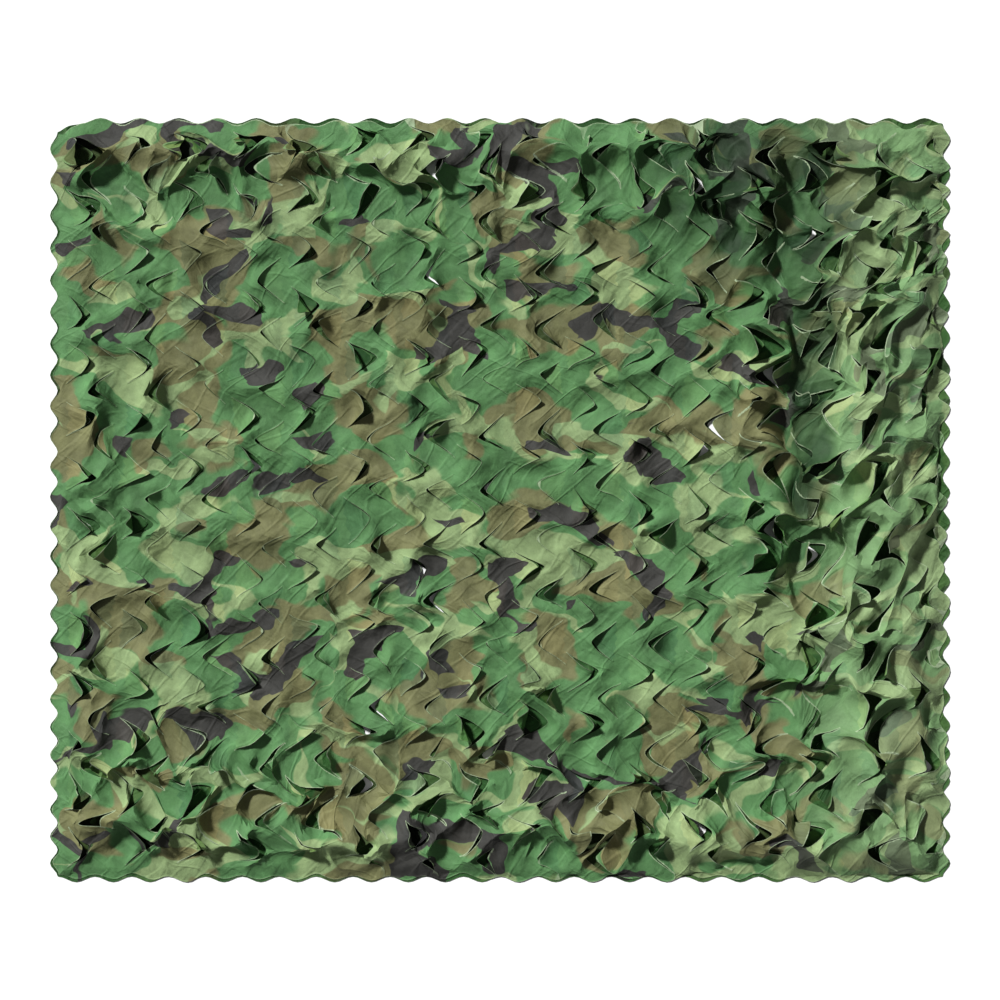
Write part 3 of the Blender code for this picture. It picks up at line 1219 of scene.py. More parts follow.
    def lie_down_at_the_edge(self, places: np.ndarray) -> None:
        """Lower the cloth softly where it stands high for how near its edge is.

        Args:
            places: rows of x, y, z, which are changed.
        """
        right, top = self.outline.half_sides()
        depth = np.minimum(right - np.abs(places[:, 0]), top - np.abs(places[:, 1]))
        room = 0.5 * (self.border_height + self.edge_slope * np.clip(depth, 0, None))
        over = np.clip(places[:, 2] - room, 0, None)
        places[:, 2] = np.minimum(places[:, 2], room) + room * np.tanh(over / room)


@dataclass
class BackPly(Ply):
    """The lower ply, flat on the floor but for its leaves, with its inner side up and darkened by painted
    shade.

    Its lifted leaves stay clear of the ply that covers it by the clearance,
    over all points within the clear reach.
    """

    cover: FrontPly | None = None
    top: float = CLOTH_THICKNESS
    lift: float = 0.030
    lift_growth: float = 1.5
    lifted: float = 1e-5
    clearance: float = 0.0024
    clear_reach: float = 0.013

    def laid(self) -> np.ndarray:
        """Return the place of every point.

        The cloth lies flat, its leaves lift where the front ply leaves room,
        and a few have slid back and bare the floor.

        Returns:
            Rows of x, y, z.
        """
        flat = self.pattern.flat
        places = np.column_stack([flat, np.full(len(flat), self.top)])
        for index, leaf in enumerate(self.leaves):
            mine = self.pattern.owner == index
            beyond, _ = leaf.local(flat[mine])
            share = np.clip(1 + beyond / leaf.reach, 0, 1)
            towards, _ = leaf.axes()
            places[mine, :2] -= np.outer(leaf.bared * share**2, towards)
            places[mine, 2] += self.lift * leaf.shade * share**self.lift_growth
        self.keep_below_the_cover(places)
        return places

    def keep_below_the_cover(self, places: np.ndarray) -> None:
        """Hold every lifted point clear of the front ply above it and beside it.

        Args:
            places: rows of x, y, z, which are changed.
        """
        above = self.cover.places
        tree = kdtree.KDTree(len(above))
        for index, (x, y, _) in enumerate(above.tolist()):
            tree.insert((x, y, 0), index)
        tree.balance()
        for index in np.flatnonzero(places[:, 2] > self.top + self.lifted):
            x, y, height = places[index].tolist()
            near = [found[1] for found in tree.find_range((x, y, 0), self.clear_reach)]
            if near:
                height = min(height, above[near, 2].min() - self.clearance)
            places[index, 2] = max(self.top, height)


@dataclass(frozen=True)
class PrintAndPaintedLightColours:
    """The colours of the woodland print as the cloth shows them, with painted light for the lit right
    strip and painted shade for the hollow and the valley.
    """

    green: tuple[float, float, float] = (0.080, 0.196, 0.074)
    light: tuple[float, float, float] = (0.222, 0.312, 0.146)
    brown: tuple[float, float, float] = (0.150, 0.155, 0.070)
    black: tuple[float, float, float] = (0.038, 0.038, 0.036)
    # The next two are painted light, for the lit right strip, and painted shade, for the hollow and the
    # valley
    painted_light: tuple[float, float, float] = (0.260, 0.370, 0.190)
    painted_shade: tuple[float, float, float] = (0.012, 0.042, 0.012)
    cut: tuple[float, float, float] = (0.34, 0.43, 0.27)


class NodeBench:
    """Adds nodes to one tree and links them up."""

    def __init__(self, tree: bpy.types.NodeTree) -> None:
        """Work on a tree."""
        self.tree = tree

    def add(self, kind: str, **settings: object) -> bpy.types.Node:
        """Add a node and set its properties.

        Args:
            kind: the node's type, without "ShaderNode".
            settings: properties of the node.

        Returns:
            The node.
        """
        node = self.tree.nodes.new("ShaderNode" + kind)
        for name, value in settings.items():
            setattr(node, name, value)
        return node

    def link(self, source: object, target: bpy.types.NodeSocket) -> None:
        """Feed a socket from another socket, or set it to a number or colour.

        Args:
            source: an output socket, a number, or a colour or vector of three.
            target: the input socket.
        """
        if isinstance(source, bpy.types.NodeSocket):
            self.tree.links.new(source, target)
        elif isinstance(source, tuple) and len(source) == 3 and target.type == "RGBA":
            target.default_value = (*source, 1.0)
        else:
            target.default_value = source

    def maths(self, operation: str, first: object, second: object = 0.0,
              third: object = 0.0) -> bpy.types.NodeSocket:
        """Add a Math node.

        Args:
            operation: what it works out.
            first, second, third: its inputs, as sockets or numbers.

        Returns:
            The output socket.
        """
        node = self.add("Math", operation=operation)
        self.link(first, node.inputs[0])
        self.link(second, node.inputs[1])
        self.link(third, node.inputs[2])
        return node.outputs[0]

    def vector(self, operation: str, first: object, second: object) -> bpy.types.NodeSocket:
        """Add a Vector Math node.

        Args:
            operation: what it works out.
            first, second: its inputs, as sockets or vectors.

        Returns:
            The output socket.
        """
        node = self.add("VectorMath", operation=operation)
        self.link(first, node.inputs[0])
        self.link(second, node.inputs[1])
        return node.outputs[0]

    def scaled(self, source: object, factor: float) -> bpy.types.NodeSocket:
        """Make a vector longer.

        Args:
            source: the vector's socket.
            factor: how many times longer it gets.

        Returns:
            The output socket.
        """
        node = self.add("VectorMath", operation="SCALE")
        self.link(source, node.inputs[0])
        node.inputs["Scale"].default_value = factor
        return node.outputs[0]

    def blend(self, share: object, first: object, second: object,
              blend_type: str = "MIX") -> bpy.types.NodeSocket:
        """Mix two colours.

        Args:
            share: how much of the second there is.
            first, second: the colours, as sockets or tuples.
            blend_type: how they are mixed.

        Returns:
            The output socket.
        """
        node = self.add("Mix", data_type="RGBA", blend_type=blend_type)
        self.link(share, node.inputs["Factor"])
        self.link(first, node.inputs[6])
        self.link(second, node.inputs[7])
        return node.outputs[2]

    def noise(self, place: object, scale: float, detail: float = 2.0,
              roughness: float = 0.5) -> bpy.types.Node:
        """Add a flat noise texture.

        Args:
            place: where it is read.
            scale: how fine it is.
            detail: how many finer layers it has.
            roughness: how strong those are.

        Returns:
            The node.
        """
        node = self.add("TexNoise", noise_dimensions="2D")
        self.link(place, node.inputs["Vector"])
        node.inputs["Scale"].default_value = scale
        node.inputs["Detail"].default_value = detail
        node.inputs["Roughness"].default_value = roughness
        return node

    def step(self, value: object, low: float, high: float) -> bpy.types.NodeSocket:
        """Step smoothly from 0 to 1.

        Args:
            value: the socket to read.
            low: where the step starts.
            high: where it ends.

        Returns:
            The output socket.
        """
        return self.ramp(value, low, high, 1.0, "SMOOTHSTEP")

    def ramp(self, value: object, low: float, high: float, top: float,
             shape: str = "LINEAR") -> bpy.types.NodeSocket:
        """Rise from 0 to a top value.

        Args:
            value: the socket to read.
            low: where the rise starts.
            high: where it ends.
            top: the value that it reaches.
            shape: whether it is straight or smooth.

        Returns:
            The output socket.
        """
        node = self.add("MapRange", interpolation_type=shape)
        self.link(value, node.inputs["Value"])
        node.inputs["From Min"].default_value = low
        node.inputs["From Max"].default_value = high
        node.inputs["To Max"].default_value = top
        return node.outputs[0]

    def inverse(self, value: object) -> bpy.types.NodeSocket:
        """Return 1 less a value."""
        return self.maths("SUBTRACT", 1.0, value)


def new_group(name: str, inputs: tuple, outputs: tuple) -> tuple:
    """Make a shader node group with named inputs and outputs.

    Args:
        name: the group's name.
        inputs: rows of name and socket type.
        outputs: rows of name and socket type.

    Returns:
        The group, a bench for it, its input node and its output node.
    """
    tree = bpy.data.node_groups.new(name, "ShaderNodeTree")
    for label, kind in inputs:
        tree.interface.new_socket(label, in_out="INPUT", socket_type=kind)
    for label, kind in outputs:
        tree.interface.new_socket(label, in_out="OUTPUT", socket_type=kind)
    bench = NodeBench(tree)
    start = tree.nodes.new("NodeGroupInput")
    end = tree.nodes.new("NodeGroupOutput")
    return tree, bench, start, end


FLOAT = "NodeSocketFloat"
VECTOR = "NodeSocketVector"
COLOUR = "NodeSocketColor"


@dataclass
class WoodlandPrintAndPaintedLight:
    """The four-colour woodland print, with painted light on the right strip and painted shade in the
    hollow and the valley, as a node group read at a place in the cloth.

    Scales are in shapes to a metre. Levels, widths and blurs are in the units
    of the noise that shapes a colour. The strip, the valley's end and the
    reaches are places and distances in the cloth, each from where a change
    starts to where it ends.
    """

    colours: PrintAndPaintedLightColours
    drawn_out: tuple[float, float, float] = (1.0, 1.45, 1.0)
    wander: float = 0.10
    wander_scale: float = 10.0
    blur: float = 0.022
    patch_shift: tuple[float, float, float] = (1.7, 5.9, 0.0)
    light_scale: float = 5.2
    light_detail: float = 0.8
    light_breaks: float = 6.0
    light_level: float = 0.42
    light_ramp: float = 0.20
    light_width: float = 0.095
    brown_shift: tuple[float, float, float] = (4.1, 7.7, 0.0)
    brown_scale: float = 6.4
    brown_detail: float = 1.6
    brown_roughness: float = 0.45
    brown_level: float = 0.525
    dark_shift: tuple[float, float, float] = (9.3, 2.4, 0.0)
    dark_scale: float = 5.4
    dark_breaks: float = 5.4
    dark_level: float = 0.540
    dark_ramp: float = 0.11
    dark_width: float = 0.128
    dark_blur: float = 0.012
    # Painted light: the raised right strip gets more light green, less brown and a lighter colour, for the
    # light that falls on it
    strip: tuple[float, float] = (0.54, 0.70)
    strip_light: float = 0.16
    strip_brown: float = -0.05
    strip_painted_light: float = 0.34
    # Painted shade: the hollow and the valley, where the folds cast shade, lose light green, gain black
    # and go towards a dark colour
    hollow: tuple[float, float, float] = (0.50, 0.60, 0.0)
    hollow_reach: tuple[float, float] = (0.08, 0.30)
    hollow_light: float = -0.32
    hollow_dark: float = 0.12
    valley_line: float = 0.606
    valley_reach: tuple[float, float] = (0.016, 0.066)
    valley_end: tuple[float, float] = (-0.22, 0.02)
    valley_wander: float = 0.08
    valley_wander_scale: float = 9.0
    valley_depth: float = 1.15
    uneven_scale: float = 13.0
    uneven_gain: float = 1.9
    uneven_base: float = -0.10
    depth: float = 0.80
    most_depth: float = 0.9

    def group(self) -> bpy.types.NodeTree:
        """Build the print's node group.

        Returns:
            A group that takes a place in the cloth and gives its colour.
        """
        tree, bench, start, end = new_group(
            "Woodland print and painted light", (("Place", VECTOR),), (("Color", COLOUR),)
        )
        cloth = start.outputs["Place"]
        place = self.wandering(bench, cloth)
        strip, hollow, valley = self.regions(bench, cloth)
        colour = bench.blend(
            self.brown_share(bench, place, strip), self.colours.green, self.colours.brown
        )
        colour = bench.blend(
            self.light_share(bench, place, strip, hollow), colour, self.colours.light
        )
        colour = bench.blend(self.dark_share(bench, place, hollow), colour, self.colours.black)
        # Painted light: the right strip goes towards a lighter colour
        fade = bench.maths("MULTIPLY", strip, self.strip_painted_light)
        painted_light = bench.blend(fade, colour, self.colours.painted_light)
        # Painted shade in the hollow and the valley
        painted_shade = bench.blend(
            self.painted_shade_share(bench, place, hollow, valley), painted_light, self.colours.painted_shade
        )
        bench.link(painted_shade, end.inputs["Color"])
        return tree

    def wandering(self, bench: NodeBench, cloth: object) -> bpy.types.NodeSocket:
        """Draw the print out and shift it unevenly, so that its edges wander.

        Args:
            bench: where the nodes go.
            cloth: the place in the cloth.

        Returns:
            The place in the print.
        """
        drawn_out = bench.vector("MULTIPLY", cloth, self.drawn_out)
        shift = bench.noise(drawn_out, self.wander_scale, 2.0).outputs["Color"]
        shift = bench.vector("SUBTRACT", shift, (0.5, 0.5, 0.5))
        return bench.vector("ADD", drawn_out, bench.scaled(shift, self.wander))

    def regions(self, bench: NodeBench, cloth: object) -> tuple:
        """Find the right strip, which takes painted light, and the hollow and the valley, which take
        painted shade.

        Args:
            bench: where the nodes go.
            cloth: the place in the cloth.

        Returns:
            How far the place is in each of the three, from 0 to 1.
        """
        parts = bench.add("SeparateXYZ")
        bench.link(cloth, parts.inputs[0])
        across, along = parts.outputs["X"], parts.outputs["Y"]
        strip = bench.step(across, *self.strip)
        away = bench.add("VectorMath", operation="DISTANCE")
        bench.link(cloth, away.inputs[0])
        bench.link(self.hollow, away.inputs[1])
        hollow = bench.inverse(bench.step(away.outputs["Value"], *self.hollow_reach))
        wander = bench.noise(cloth, self.valley_wander_scale, 2.0).outputs["Fac"]
        middle = bench.maths("SUBTRACT", across, self.valley_wander / 2)
        beside = bench.maths("MULTIPLY_ADD", wander, self.valley_wander, middle)
        beside = bench.maths("ABSOLUTE", bench.maths("SUBTRACT", beside, self.valley_line))
        valley = bench.inverse(bench.step(beside, *self.valley_reach))
        valley = bench.maths("MULTIPLY", valley, bench.step(along, *self.valley_end))
        return strip, hollow, valley

    def patch(self, bench: NodeBench, place: object, scale: float,
              bias: object) -> bpy.types.NodeSocket:
        """Read the noise that breaks a colour's shapes up.

        Args:
            bench: where the nodes go.
            place: the place in the print.
            scale: how many breaks there are to a metre.
            bias: what is added to the noise.

        Returns:
            The biased noise.
        """
        noise_node = bench.noise(bench.vector("ADD", place, self.patch_shift), scale, 1.0)
        return bench.maths("ADD", noise_node.outputs["Fac"], bias)

    def light_share(self, bench: NodeBench, place: object, strip: object,
                    hollow: object) -> bpy.types.NodeSocket:
        """Lay out the light green, as long lobed streaks with branches.

        Args:
            bench: where the nodes go.
            place: the place in the print.
            strip, hollow: how far it is in those regions.

        Returns:
            How light green the place is, from 0 to 1.
        """
        # Painted shade takes light green out of the hollow, and painted light adds it to the strip
        less = bench.maths("MULTIPLY", hollow, self.hollow_light)
        bias = bench.maths("MULTIPLY_ADD", strip, self.strip_light, less)
        shape = bench.noise(place, self.light_scale, self.light_detail).outputs["Fac"]
        middle = bench.maths("ABSOLUTE", bench.maths("SUBTRACT", shape, 0.5))
        patch = self.patch(bench, place, self.light_breaks, bias)
        half_width = bench.ramp(
            patch, self.light_level, self.light_level + self.light_ramp, self.light_width
        )
        return bench.step(bench.maths("SUBTRACT", half_width, middle), 0.0, self.blur)

    def brown_share(self, bench: NodeBench, place: object,
                    strip: object) -> bpy.types.NodeSocket:
        """Lay out the brown, as broad blots.

        Args:
            bench: where the nodes go.
            place: the place in the print.
            strip: how far it is in the pale strip.

        Returns:
            How brown the place is, from 0 to 1.
        """
        moved = bench.vector("ADD", place, self.brown_shift)
        blot = bench.noise(moved, self.brown_scale, self.brown_detail, self.brown_roughness)
        # Painted light: less brown on the lit strip
        blot = bench.maths("MULTIPLY_ADD", strip, self.strip_brown, blot.outputs["Fac"])
        return bench.step(blot, self.brown_level, self.brown_level + 2 * self.blur)

    def dark_share(self, bench: NodeBench, place: object,
                   hollow: object) -> bpy.types.NodeSocket:
        """Lay out the black, as short forked branches with blunt ends.

        Args:
            bench: where the nodes go.
            place: the place in the print.
            hollow: how far it is in the dark hollow.

        Returns:
            How black the place is, from 0 to 1.
        """
        cells = bench.add("TexVoronoi", voronoi_dimensions="2D", feature="DISTANCE_TO_EDGE")
        bench.link(bench.vector("ADD", place, self.dark_shift), cells.inputs["Vector"])
        cells.inputs["Scale"].default_value = self.dark_scale
        # Painted shade: more black in the hollow
        bias = bench.maths("MULTIPLY", hollow, self.hollow_dark)
        patch = self.patch(bench, place, self.dark_breaks, bias)
        half_width = bench.ramp(
            patch, self.dark_level, self.dark_level + self.dark_ramp, self.dark_width,
            "SMOOTHSTEP",
        )
        inside = bench.maths("SUBTRACT", half_width, cells.outputs["Distance"])
        return bench.step(inside, 0.0, self.dark_blur)

    def painted_shade_share(self, bench: NodeBench, place: object, hollow: object,
                   valley: object) -> bpy.types.NodeSocket:
        """Find how much painted shade a place in the dark folds takes, unevenly.

        Args:
            bench: where the nodes go.
            place: the place in the print.
            hollow, valley: how far it is in those regions.

        Returns:
            How far its colour goes to the painted shade.
        """
        uneven = bench.noise(place, self.uneven_scale, 1.0).outputs["Fac"]
        uneven = bench.maths("MULTIPLY_ADD", uneven, self.uneven_gain, self.uneven_base)
        deepest = bench.maths("MULTIPLY", valley, self.valley_depth)
        deepest = bench.maths("MAXIMUM", hollow, deepest)
        share = bench.maths("MULTIPLY", deepest, bench.maths("MULTIPLY", uneven, self.depth))
        return bench.maths("MINIMUM", share, self.most_depth)


@dataclass
class ClothWearAndRimHighlight:
    """Uneven dye, dust, and a pale frayed rim that is partly cut edge and partly painted highlight, as a
    node group over a print.

    The cool and the warm cast are those of the leaves with the least and the
    most tone. Edge distances are shares of the rim's range.
    """

    mottle_scale: float = 19.0
    mottle_detail: float = 4.0
    mottle_roughness: float = 0.62
    base_value: float = 0.44
    grain_scale: float = 420.0
    grain_roughness: float = 0.6
    grain_depth: float = 0.24
    tone_depth: float = 0.36
    cool: tuple[float, float, float] = (0.88, 1.0, 0.98)
    warm: tuple[float, float, float] = (1.14, 1.02, 0.92)
    fray_scale: float = 300.0
    fray_reach: float = 0.11
    rim_reach: float = 0.03
    rim_blur: float = 0.05
    rim_breaks: float = 26.0
    rim_level: tuple[float, float] = (0.32, 0.60)
    rim_strength: float = 0.80
    curl_reach: float = 0.42

    def group(self) -> bpy.types.NodeTree:
        """Build the group.

        Returns:
            A group that takes the print's colour, the place, the distance from the cut edge, the leaf's
            tone and the rim's colour. It gives the colour with its wear and its rim, which is partly
            painted highlight, and how far the cloth curls down to its edge.
        """
        tree, bench, start, end = new_group(
            "Worn cloth and painted rim highlight",
            (("Color", COLOUR), ("Place", VECTOR), ("Edge", FLOAT), ("Tone", FLOAT),
             ("Rim", COLOUR)),
            (("Color", COLOUR), ("Curl", FLOAT)),
        )
        place, tone = start.outputs["Place"], start.outputs["Tone"]
        cast = bench.blend(tone, self.cool, self.warm)
        dyed = bench.add("VectorMath", operation="SCALE")
        bench.link(bench.vector("MULTIPLY", start.outputs["Color"], cast), dyed.inputs[0])
        bench.link(self.value(bench, place, tone), dyed.inputs["Scale"])
        rim = self.rim(bench, place, start.outputs["Edge"])
        colour = bench.blend(rim, dyed.outputs[0], start.outputs["Rim"])
        bench.link(colour, end.inputs["Color"])
        curl = bench.inverse(bench.step(start.outputs["Edge"], 0.0, self.curl_reach))
        bench.link(curl, end.inputs["Curl"])
        return tree

    def value(self, bench: NodeBench, place: object, tone: object) -> bpy.types.NodeSocket:
        """Work out how bright the dye is.

        Args:
            bench: where the nodes go.
            place: the place in the cloth.
            tone: the leaf's tone.

        Returns:
            A factor for the colour.
        """
        mottle = bench.noise(
            place, self.mottle_scale, self.mottle_detail, self.mottle_roughness
        ).outputs["Fac"]
        grain = bench.noise(place, self.grain_scale, 2.0, self.grain_roughness).outputs["Fac"]
        value = bench.maths("MULTIPLY_ADD", mottle, 1.0, self.base_value)
        for part, depth in ((grain, self.grain_depth), (tone, self.tone_depth)):
            value = bench.maths("ADD", value, bench.maths("MULTIPLY_ADD", part, depth, -depth / 2))
        return value

    def rim(self, bench: NodeBench, place: object, edge: object) -> bpy.types.NodeSocket:
        """Find the pale rim along the cut edges, frayed and broken, partly the cut edge's own colour and
        partly painted highlight on lifted edges.

        Args:
            bench: where the nodes go.
            place: the place in the cloth.
            edge: the distance from the cut edge.

        Returns:
            How pale the place is, from 0 to 1.
        """
        fray = bench.noise(place, self.fray_scale, 2.0).outputs["Fac"]
        reach = bench.maths("MULTIPLY_ADD", fray, self.fray_reach, self.rim_reach)
        rim = bench.step(bench.maths("SUBTRACT", reach, edge), 0.0, self.rim_blur)
        patch = bench.noise(place, self.rim_breaks, 2.0).outputs["Fac"]
        rim = bench.maths("MULTIPLY", rim, bench.step(patch, *self.rim_level))
        return bench.maths("MULTIPLY", rim, self.rim_strength)


@dataclass
class PlainWeave:
    """The plain weave of the cloth with its creases, as a node group.

    Pressed creases run both ways across the cloth, each way with its angle in
    radians and its scale.
    """

    thread_pitch: float = 0.9 * MILLIMETRE
    thread_height: float = 0.04
    crease_scale: float = 60.0
    crease_roughness: float = 0.55
    pressed: tuple[tuple[float, float], ...] = ((0.60, 17.0), (-0.75, 15.0))
    pressed_shape: tuple[float, float, float] = (0.45, 1.6, 1.0)
    pressed_width: float = 0.07
    pressed_height: float = 0.50
    roughness: float = 0.60
    roughness_spread: float = 0.16

    def group(self) -> bpy.types.NodeTree:
        """Build the group.

        Returns:
            A group that takes a place and gives the cloth's height and its
            roughness.
        """
        tree, bench, start, end = new_group(
            "Plain weave", (("Place", VECTOR),), (("Height", FLOAT), ("Roughness", FLOAT))
        )
        place = start.outputs["Place"]
        parts = bench.add("SeparateXYZ")
        bench.link(bench.scaled(place, 2 * math.pi / self.thread_pitch), parts.inputs[0])
        warp = bench.maths("SINE", parts.outputs["X"])
        weft = bench.maths("SINE", parts.outputs["Y"])
        weave = bench.maths("MULTIPLY", warp, weft)
        crease = bench.noise(place, self.crease_scale, 3.0, self.crease_roughness).outputs["Fac"]
        height = bench.maths("MULTIPLY_ADD", weave, self.thread_height, crease)
        height = bench.maths("ADD", height, self.pressed_creases(bench, place))
        bench.link(height, end.inputs["Height"])
        rough = bench.maths("MULTIPLY_ADD", crease, self.roughness_spread, self.roughness)
        bench.link(rough, end.inputs["Roughness"])
        return tree

    def pressed_creases(self, bench: NodeBench, place: object) -> bpy.types.NodeSocket:
        """Add the sharp creases that run across the cloth both ways.

        Args:
            bench: where the nodes go.
            place: the place in the cloth.

        Returns:
            Their height.
        """
        total = 0.0
        for angle, scale in self.pressed:
            turned = bench.add("VectorRotate", rotation_type="Z_AXIS")
            bench.link(place, turned.inputs["Vector"])
            turned.inputs["Angle"].default_value = angle
            drawn_out = bench.vector("MULTIPLY", turned.outputs[0], self.pressed_shape)
            line = bench.noise(drawn_out, scale, 1.5).outputs["Fac"]
            away = bench.maths("ABSOLUTE", bench.maths("SUBTRACT", line, 0.5))
            sharp = bench.inverse(bench.step(away, 0.0, self.pressed_width))
            total = bench.maths("MULTIPLY_ADD", sharp, self.pressed_height, total)
        return total


@dataclass(frozen=True)
class ClothFinish:
    """A finish of the printed cloth, as seen from one side.

    The bump's distance is in metres. The curl's height is how much of the
    bump there is at a cut edge.
    """

    name: str
    tint: tuple[float, float, float]
    colours: PrintAndPaintedLightColours
    bump_strength: float = 0.5
    bump_distance: float = 0.004
    curl_height: float = 0.55
    specular: float = 0.25

    def material(self, groups: dict[str, bpy.types.NodeTree]) -> bpy.types.Material:
        """Make the material.

        Args:
            groups: the shared node groups, by name.

        Returns:
            The material.
        """
        material = bpy.data.materials.new(self.name)
        material.use_nodes = True
        bench = NodeBench(material.node_tree)
        shader = material.node_tree.nodes["Principled BSDF"]
        pattern = bench.add("UVMap", uv_map="Pattern").outputs[0]
        edge_map = bench.add("UVMap", uv_map="Edge").outputs[0]
        edge = bench.add("SeparateXYZ")
        bench.link(edge_map, edge.inputs[0])
        print_node = bench.add("Group", node_tree=groups["print"])
        bench.link(pattern, print_node.inputs["Place"])
        tinted = bench.blend(1.0, print_node.outputs["Color"], self.tint, "MULTIPLY")
        worn_and_highlit = bench.add("Group", node_tree=groups["worn_and_highlit"])
        bench.link(tinted, worn_and_highlit.inputs["Color"])
        bench.link(pattern, worn_and_highlit.inputs["Place"])
        bench.link(edge.outputs["X"], worn_and_highlit.inputs["Edge"])
        bench.link(edge.outputs["Y"], worn_and_highlit.inputs["Tone"])
        rim = tuple(cut * tint for cut, tint in zip(self.colours.cut, self.tint))
        bench.link(rim, worn_and_highlit.inputs["Rim"])
        bench.link(worn_and_highlit.outputs["Color"], shader.inputs["Base Color"])
        weave = bench.add("Group", node_tree=groups["weave"])
        bench.link(pattern, weave.inputs["Place"])
        bench.link(weave.outputs["Roughness"], shader.inputs["Roughness"])
        bump = bench.add("Bump")
        bump.inputs["Strength"].default_value = self.bump_strength
        bump.inputs["Distance"].default_value = self.bump_distance
        height = bench.maths(
            "MULTIPLY_ADD", worn_and_highlit.outputs["Curl"], self.curl_height, weave.outputs["Height"]
        )
        bench.link(height, bump.inputs["Height"])
        bench.link(bump.outputs[0], shader.inputs["Normal"])
        shader.inputs["Specular IOR Level"].default_value = self.specular
        return material


@dataclass(frozen=True)
class CutFinish:
    """The pale cut edge of the cloth, uneven with the ends of its threads."""

    colours: PrintAndPaintedLightColours
    threads_scale: float = 900.0
    patch_scale: float = 26.0
    patch_level: tuple[float, float] = (0.44, 0.72)
    dark_share: float = 0.20
    roughness: float = 0.8

    def material(self) -> bpy.types.Material:
        """Make the material.

        Returns:
            The material.
        """
        material = bpy.data.materials.new("Cut edge")
        material.use_nodes = True
        bench = NodeBench(material.node_tree)
        shader = material.node_tree.nodes["Principled BSDF"]
        pattern = bench.add("UVMap", uv_map="Pattern").outputs[0]
        threads = bench.noise(pattern, self.threads_scale, 1.0).outputs["Fac"]
        dark = tuple(self.dark_share * cut for cut in self.colours.cut)
        patch = bench.noise(pattern, self.patch_scale, 2.0).outputs["Fac"]
        patch = bench.step(patch, *self.patch_level)
        colour = bench.blend(bench.maths("MULTIPLY", threads, patch), dark, self.colours.cut)
        bench.link(colour, shader.inputs["Base Color"])
        shader.inputs["Roughness"].default_value = self.roughness
        return material


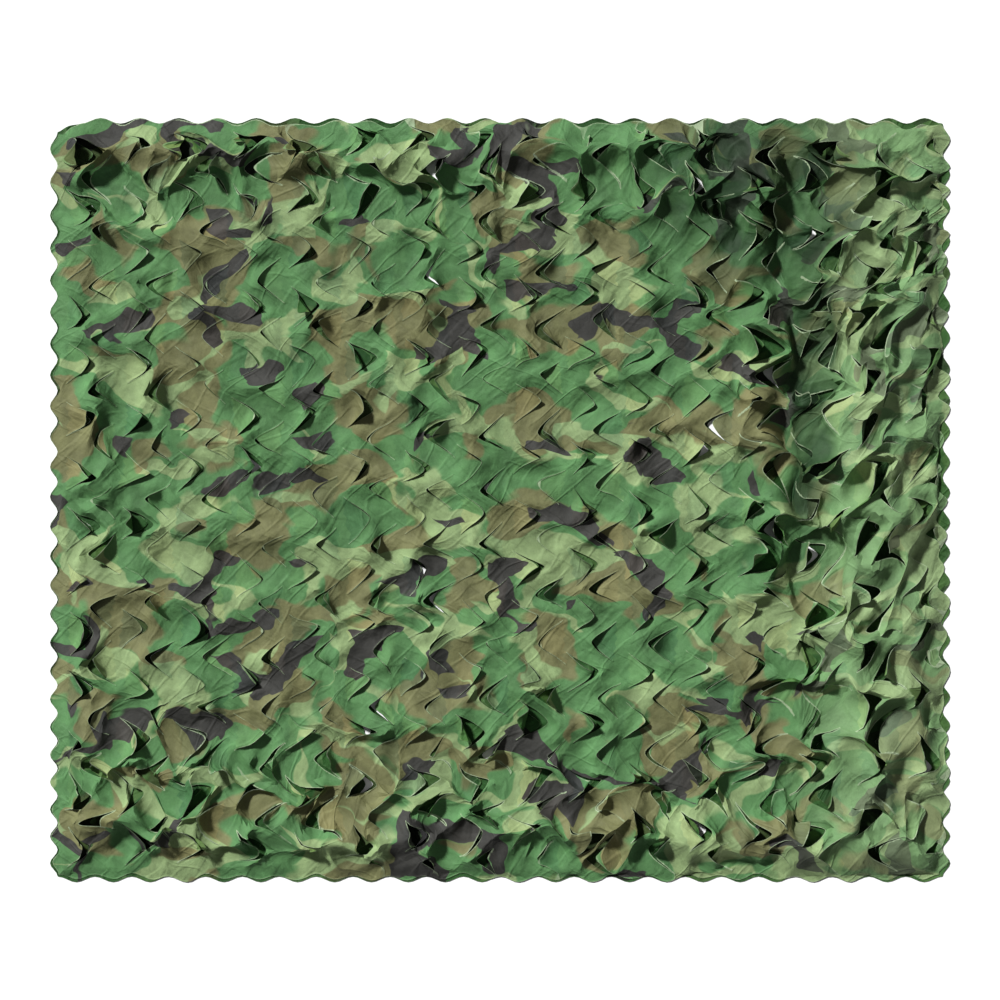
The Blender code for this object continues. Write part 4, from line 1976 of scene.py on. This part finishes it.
@dataclass
class Studio:
    """A pale floor, soft lights and the camera over the net.

    The frame's width is what the camera sees of the floor. The key's softness
    is the width of its disc, in degrees.
    """

    floor_half: float = 6.0
    floor_drop: float = 0.0005
    floor_colour: tuple[float, float, float] = (0.92, 0.92, 0.92)
    floor_roughness: float = 0.9
    frame_width: float = 1.9634
    lens: float = 100.0
    sensor: float = 36.0
    middle: tuple[float, float] = (0.0, 0.0)
    key_direction: tuple[float, float, float] = (0.66, -0.66, -0.72)
    key_strength: float = 5.5
    key_softness: float = 7.0
    world_strength: float = 0.145
    backdrop: float = 0.95
    farthest: float = 100.0

    def build(self) -> None:
        """Make the floor, the lights, the world and the camera."""
        self.floor()
        self.sun()
        self.world()
        self.camera()

    def floor(self) -> None:
        """Make the pale floor."""
        mesh = bpy.data.meshes.new("Floor")
        half = self.floor_half
        corners = [(-half, -half, 0), (half, -half, 0), (half, half, 0), (-half, half, 0)]
        mesh.from_pydata(corners, [], [(0, 1, 2, 3)])
        floor = bpy.data.objects.new("Floor", mesh)
        bpy.context.scene.collection.objects.link(floor)
        floor.location.z = -self.floor_drop
        material = bpy.data.materials.new("Floor")
        material.use_nodes = True
        shader = material.node_tree.nodes["Principled BSDF"]
        shader.inputs["Base Color"].default_value = (*self.floor_colour, 1)
        shader.inputs["Roughness"].default_value = self.floor_roughness
        mesh.materials.append(material)

    def sun(self) -> None:
        """Light the net evenly from the upper left, with soft shadows."""
        data = bpy.data.lights.new("Key", "SUN")
        data.energy = self.key_strength
        data.angle = math.radians(self.key_softness)
        lamp = bpy.data.objects.new("Key", data)
        direction = Vector(self.key_direction)
        lamp.rotation_euler = direction.to_track_quat("-Z", "Y").to_euler()
        bpy.context.scene.collection.objects.link(lamp)

    def world(self) -> None:
        """Light the studio softly from all round."""
        world = bpy.data.worlds.new("Studio")
        bpy.context.scene.world = world
        world.use_nodes = True
        background = world.node_tree.nodes["Background"]
        background.inputs["Color"].default_value = (1, 1, 1, 1)
        bench = NodeBench(world.node_tree)
        seen = bench.add("LightPath").outputs["Is Camera Ray"]
        strength = bench.maths(
            "MULTIPLY_ADD", seen, self.backdrop - self.world_strength, self.world_strength
        )
        bench.link(strength, background.inputs["Strength"])

    def camera(self) -> None:
        """Look straight down on the net, as the photo does."""
        data = bpy.data.cameras.new("Camera")
        data.lens = self.lens
        data.sensor_width = self.sensor
        camera = bpy.data.objects.new("Camera", data)
        bpy.context.scene.collection.objects.link(camera)
        height = self.frame_width * self.lens / self.sensor
        camera.location = (*self.middle, height)
        camera.rotation_euler = (0, 0, 0)
        data.clip_end = self.farthest
        bpy.context.scene.camera = camera


def place_ply(ply: Ply, materials: list[bpy.types.Material]) -> bpy.types.Object:
    """Build a ply, dress it and tell the frame what it is.

    Args:
        ply: the ply to build.
        materials: its materials, in the order of Side.

    Returns:
        The ply's object.
    """
    piece = ply.build()
    for material in materials:
        piece.data.materials.append(material)
    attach(piece, "root")
    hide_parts(ply.node)
    LOG.info("%s: %d faces before its thickness", piece.name, len(piece.data.polygons))
    return piece


def main() -> None:
    """Build the studio and the net."""
    logging.basicConfig(level=logging.INFO, format="%(message)s")
    bpy.context.scene.view_settings.view_transform = "Standard"
    Studio().build()
    outline = Outline()
    lie = Lie()
    leaves = Lattice(outline, lie).leaves()
    colours = PrintAndPaintedLightColours()
    groups = {
        "print": WoodlandPrintAndPaintedLight(colours).group(),
        "worn_and_highlit": ClothWearAndRimHighlight().group(),
        "weave": PlainWeave().group(),
    }
    face = ClothFinish("Cloth face", FACE_TINT, colours).material(groups)
    inner = ClothFinish("Cloth inner side", INNER_TINT, colours).material(groups)
    # Painted shade: the back ply's upper side is a darker copy of the inner side, for the shadow that it
    # lies in
    shade = ClothFinish("Cloth inner side in shade", SHADE_TINT, colours).material(groups)
    cut = CutFinish(colours).material()
    front = FrontPly(
        "front_ply", "net_front", outline, leaves,
        spacing=0.0090, segments=16, edge_steps=8, lie=lie,
    )
    place_ply(front, [face, inner, cut])
    back_leaves = [leaf for leaf in leaves if leaf.reach > LEAST_BACK_REACH]
    back = BackPly(
        "back_ply", "net_back", outline, back_leaves,
        spacing=0.015, segments=10, edge_steps=8, cover=front,
    )
    place_ply(back, [shade, face, cut])


if __name__ == "__main__":
    main()
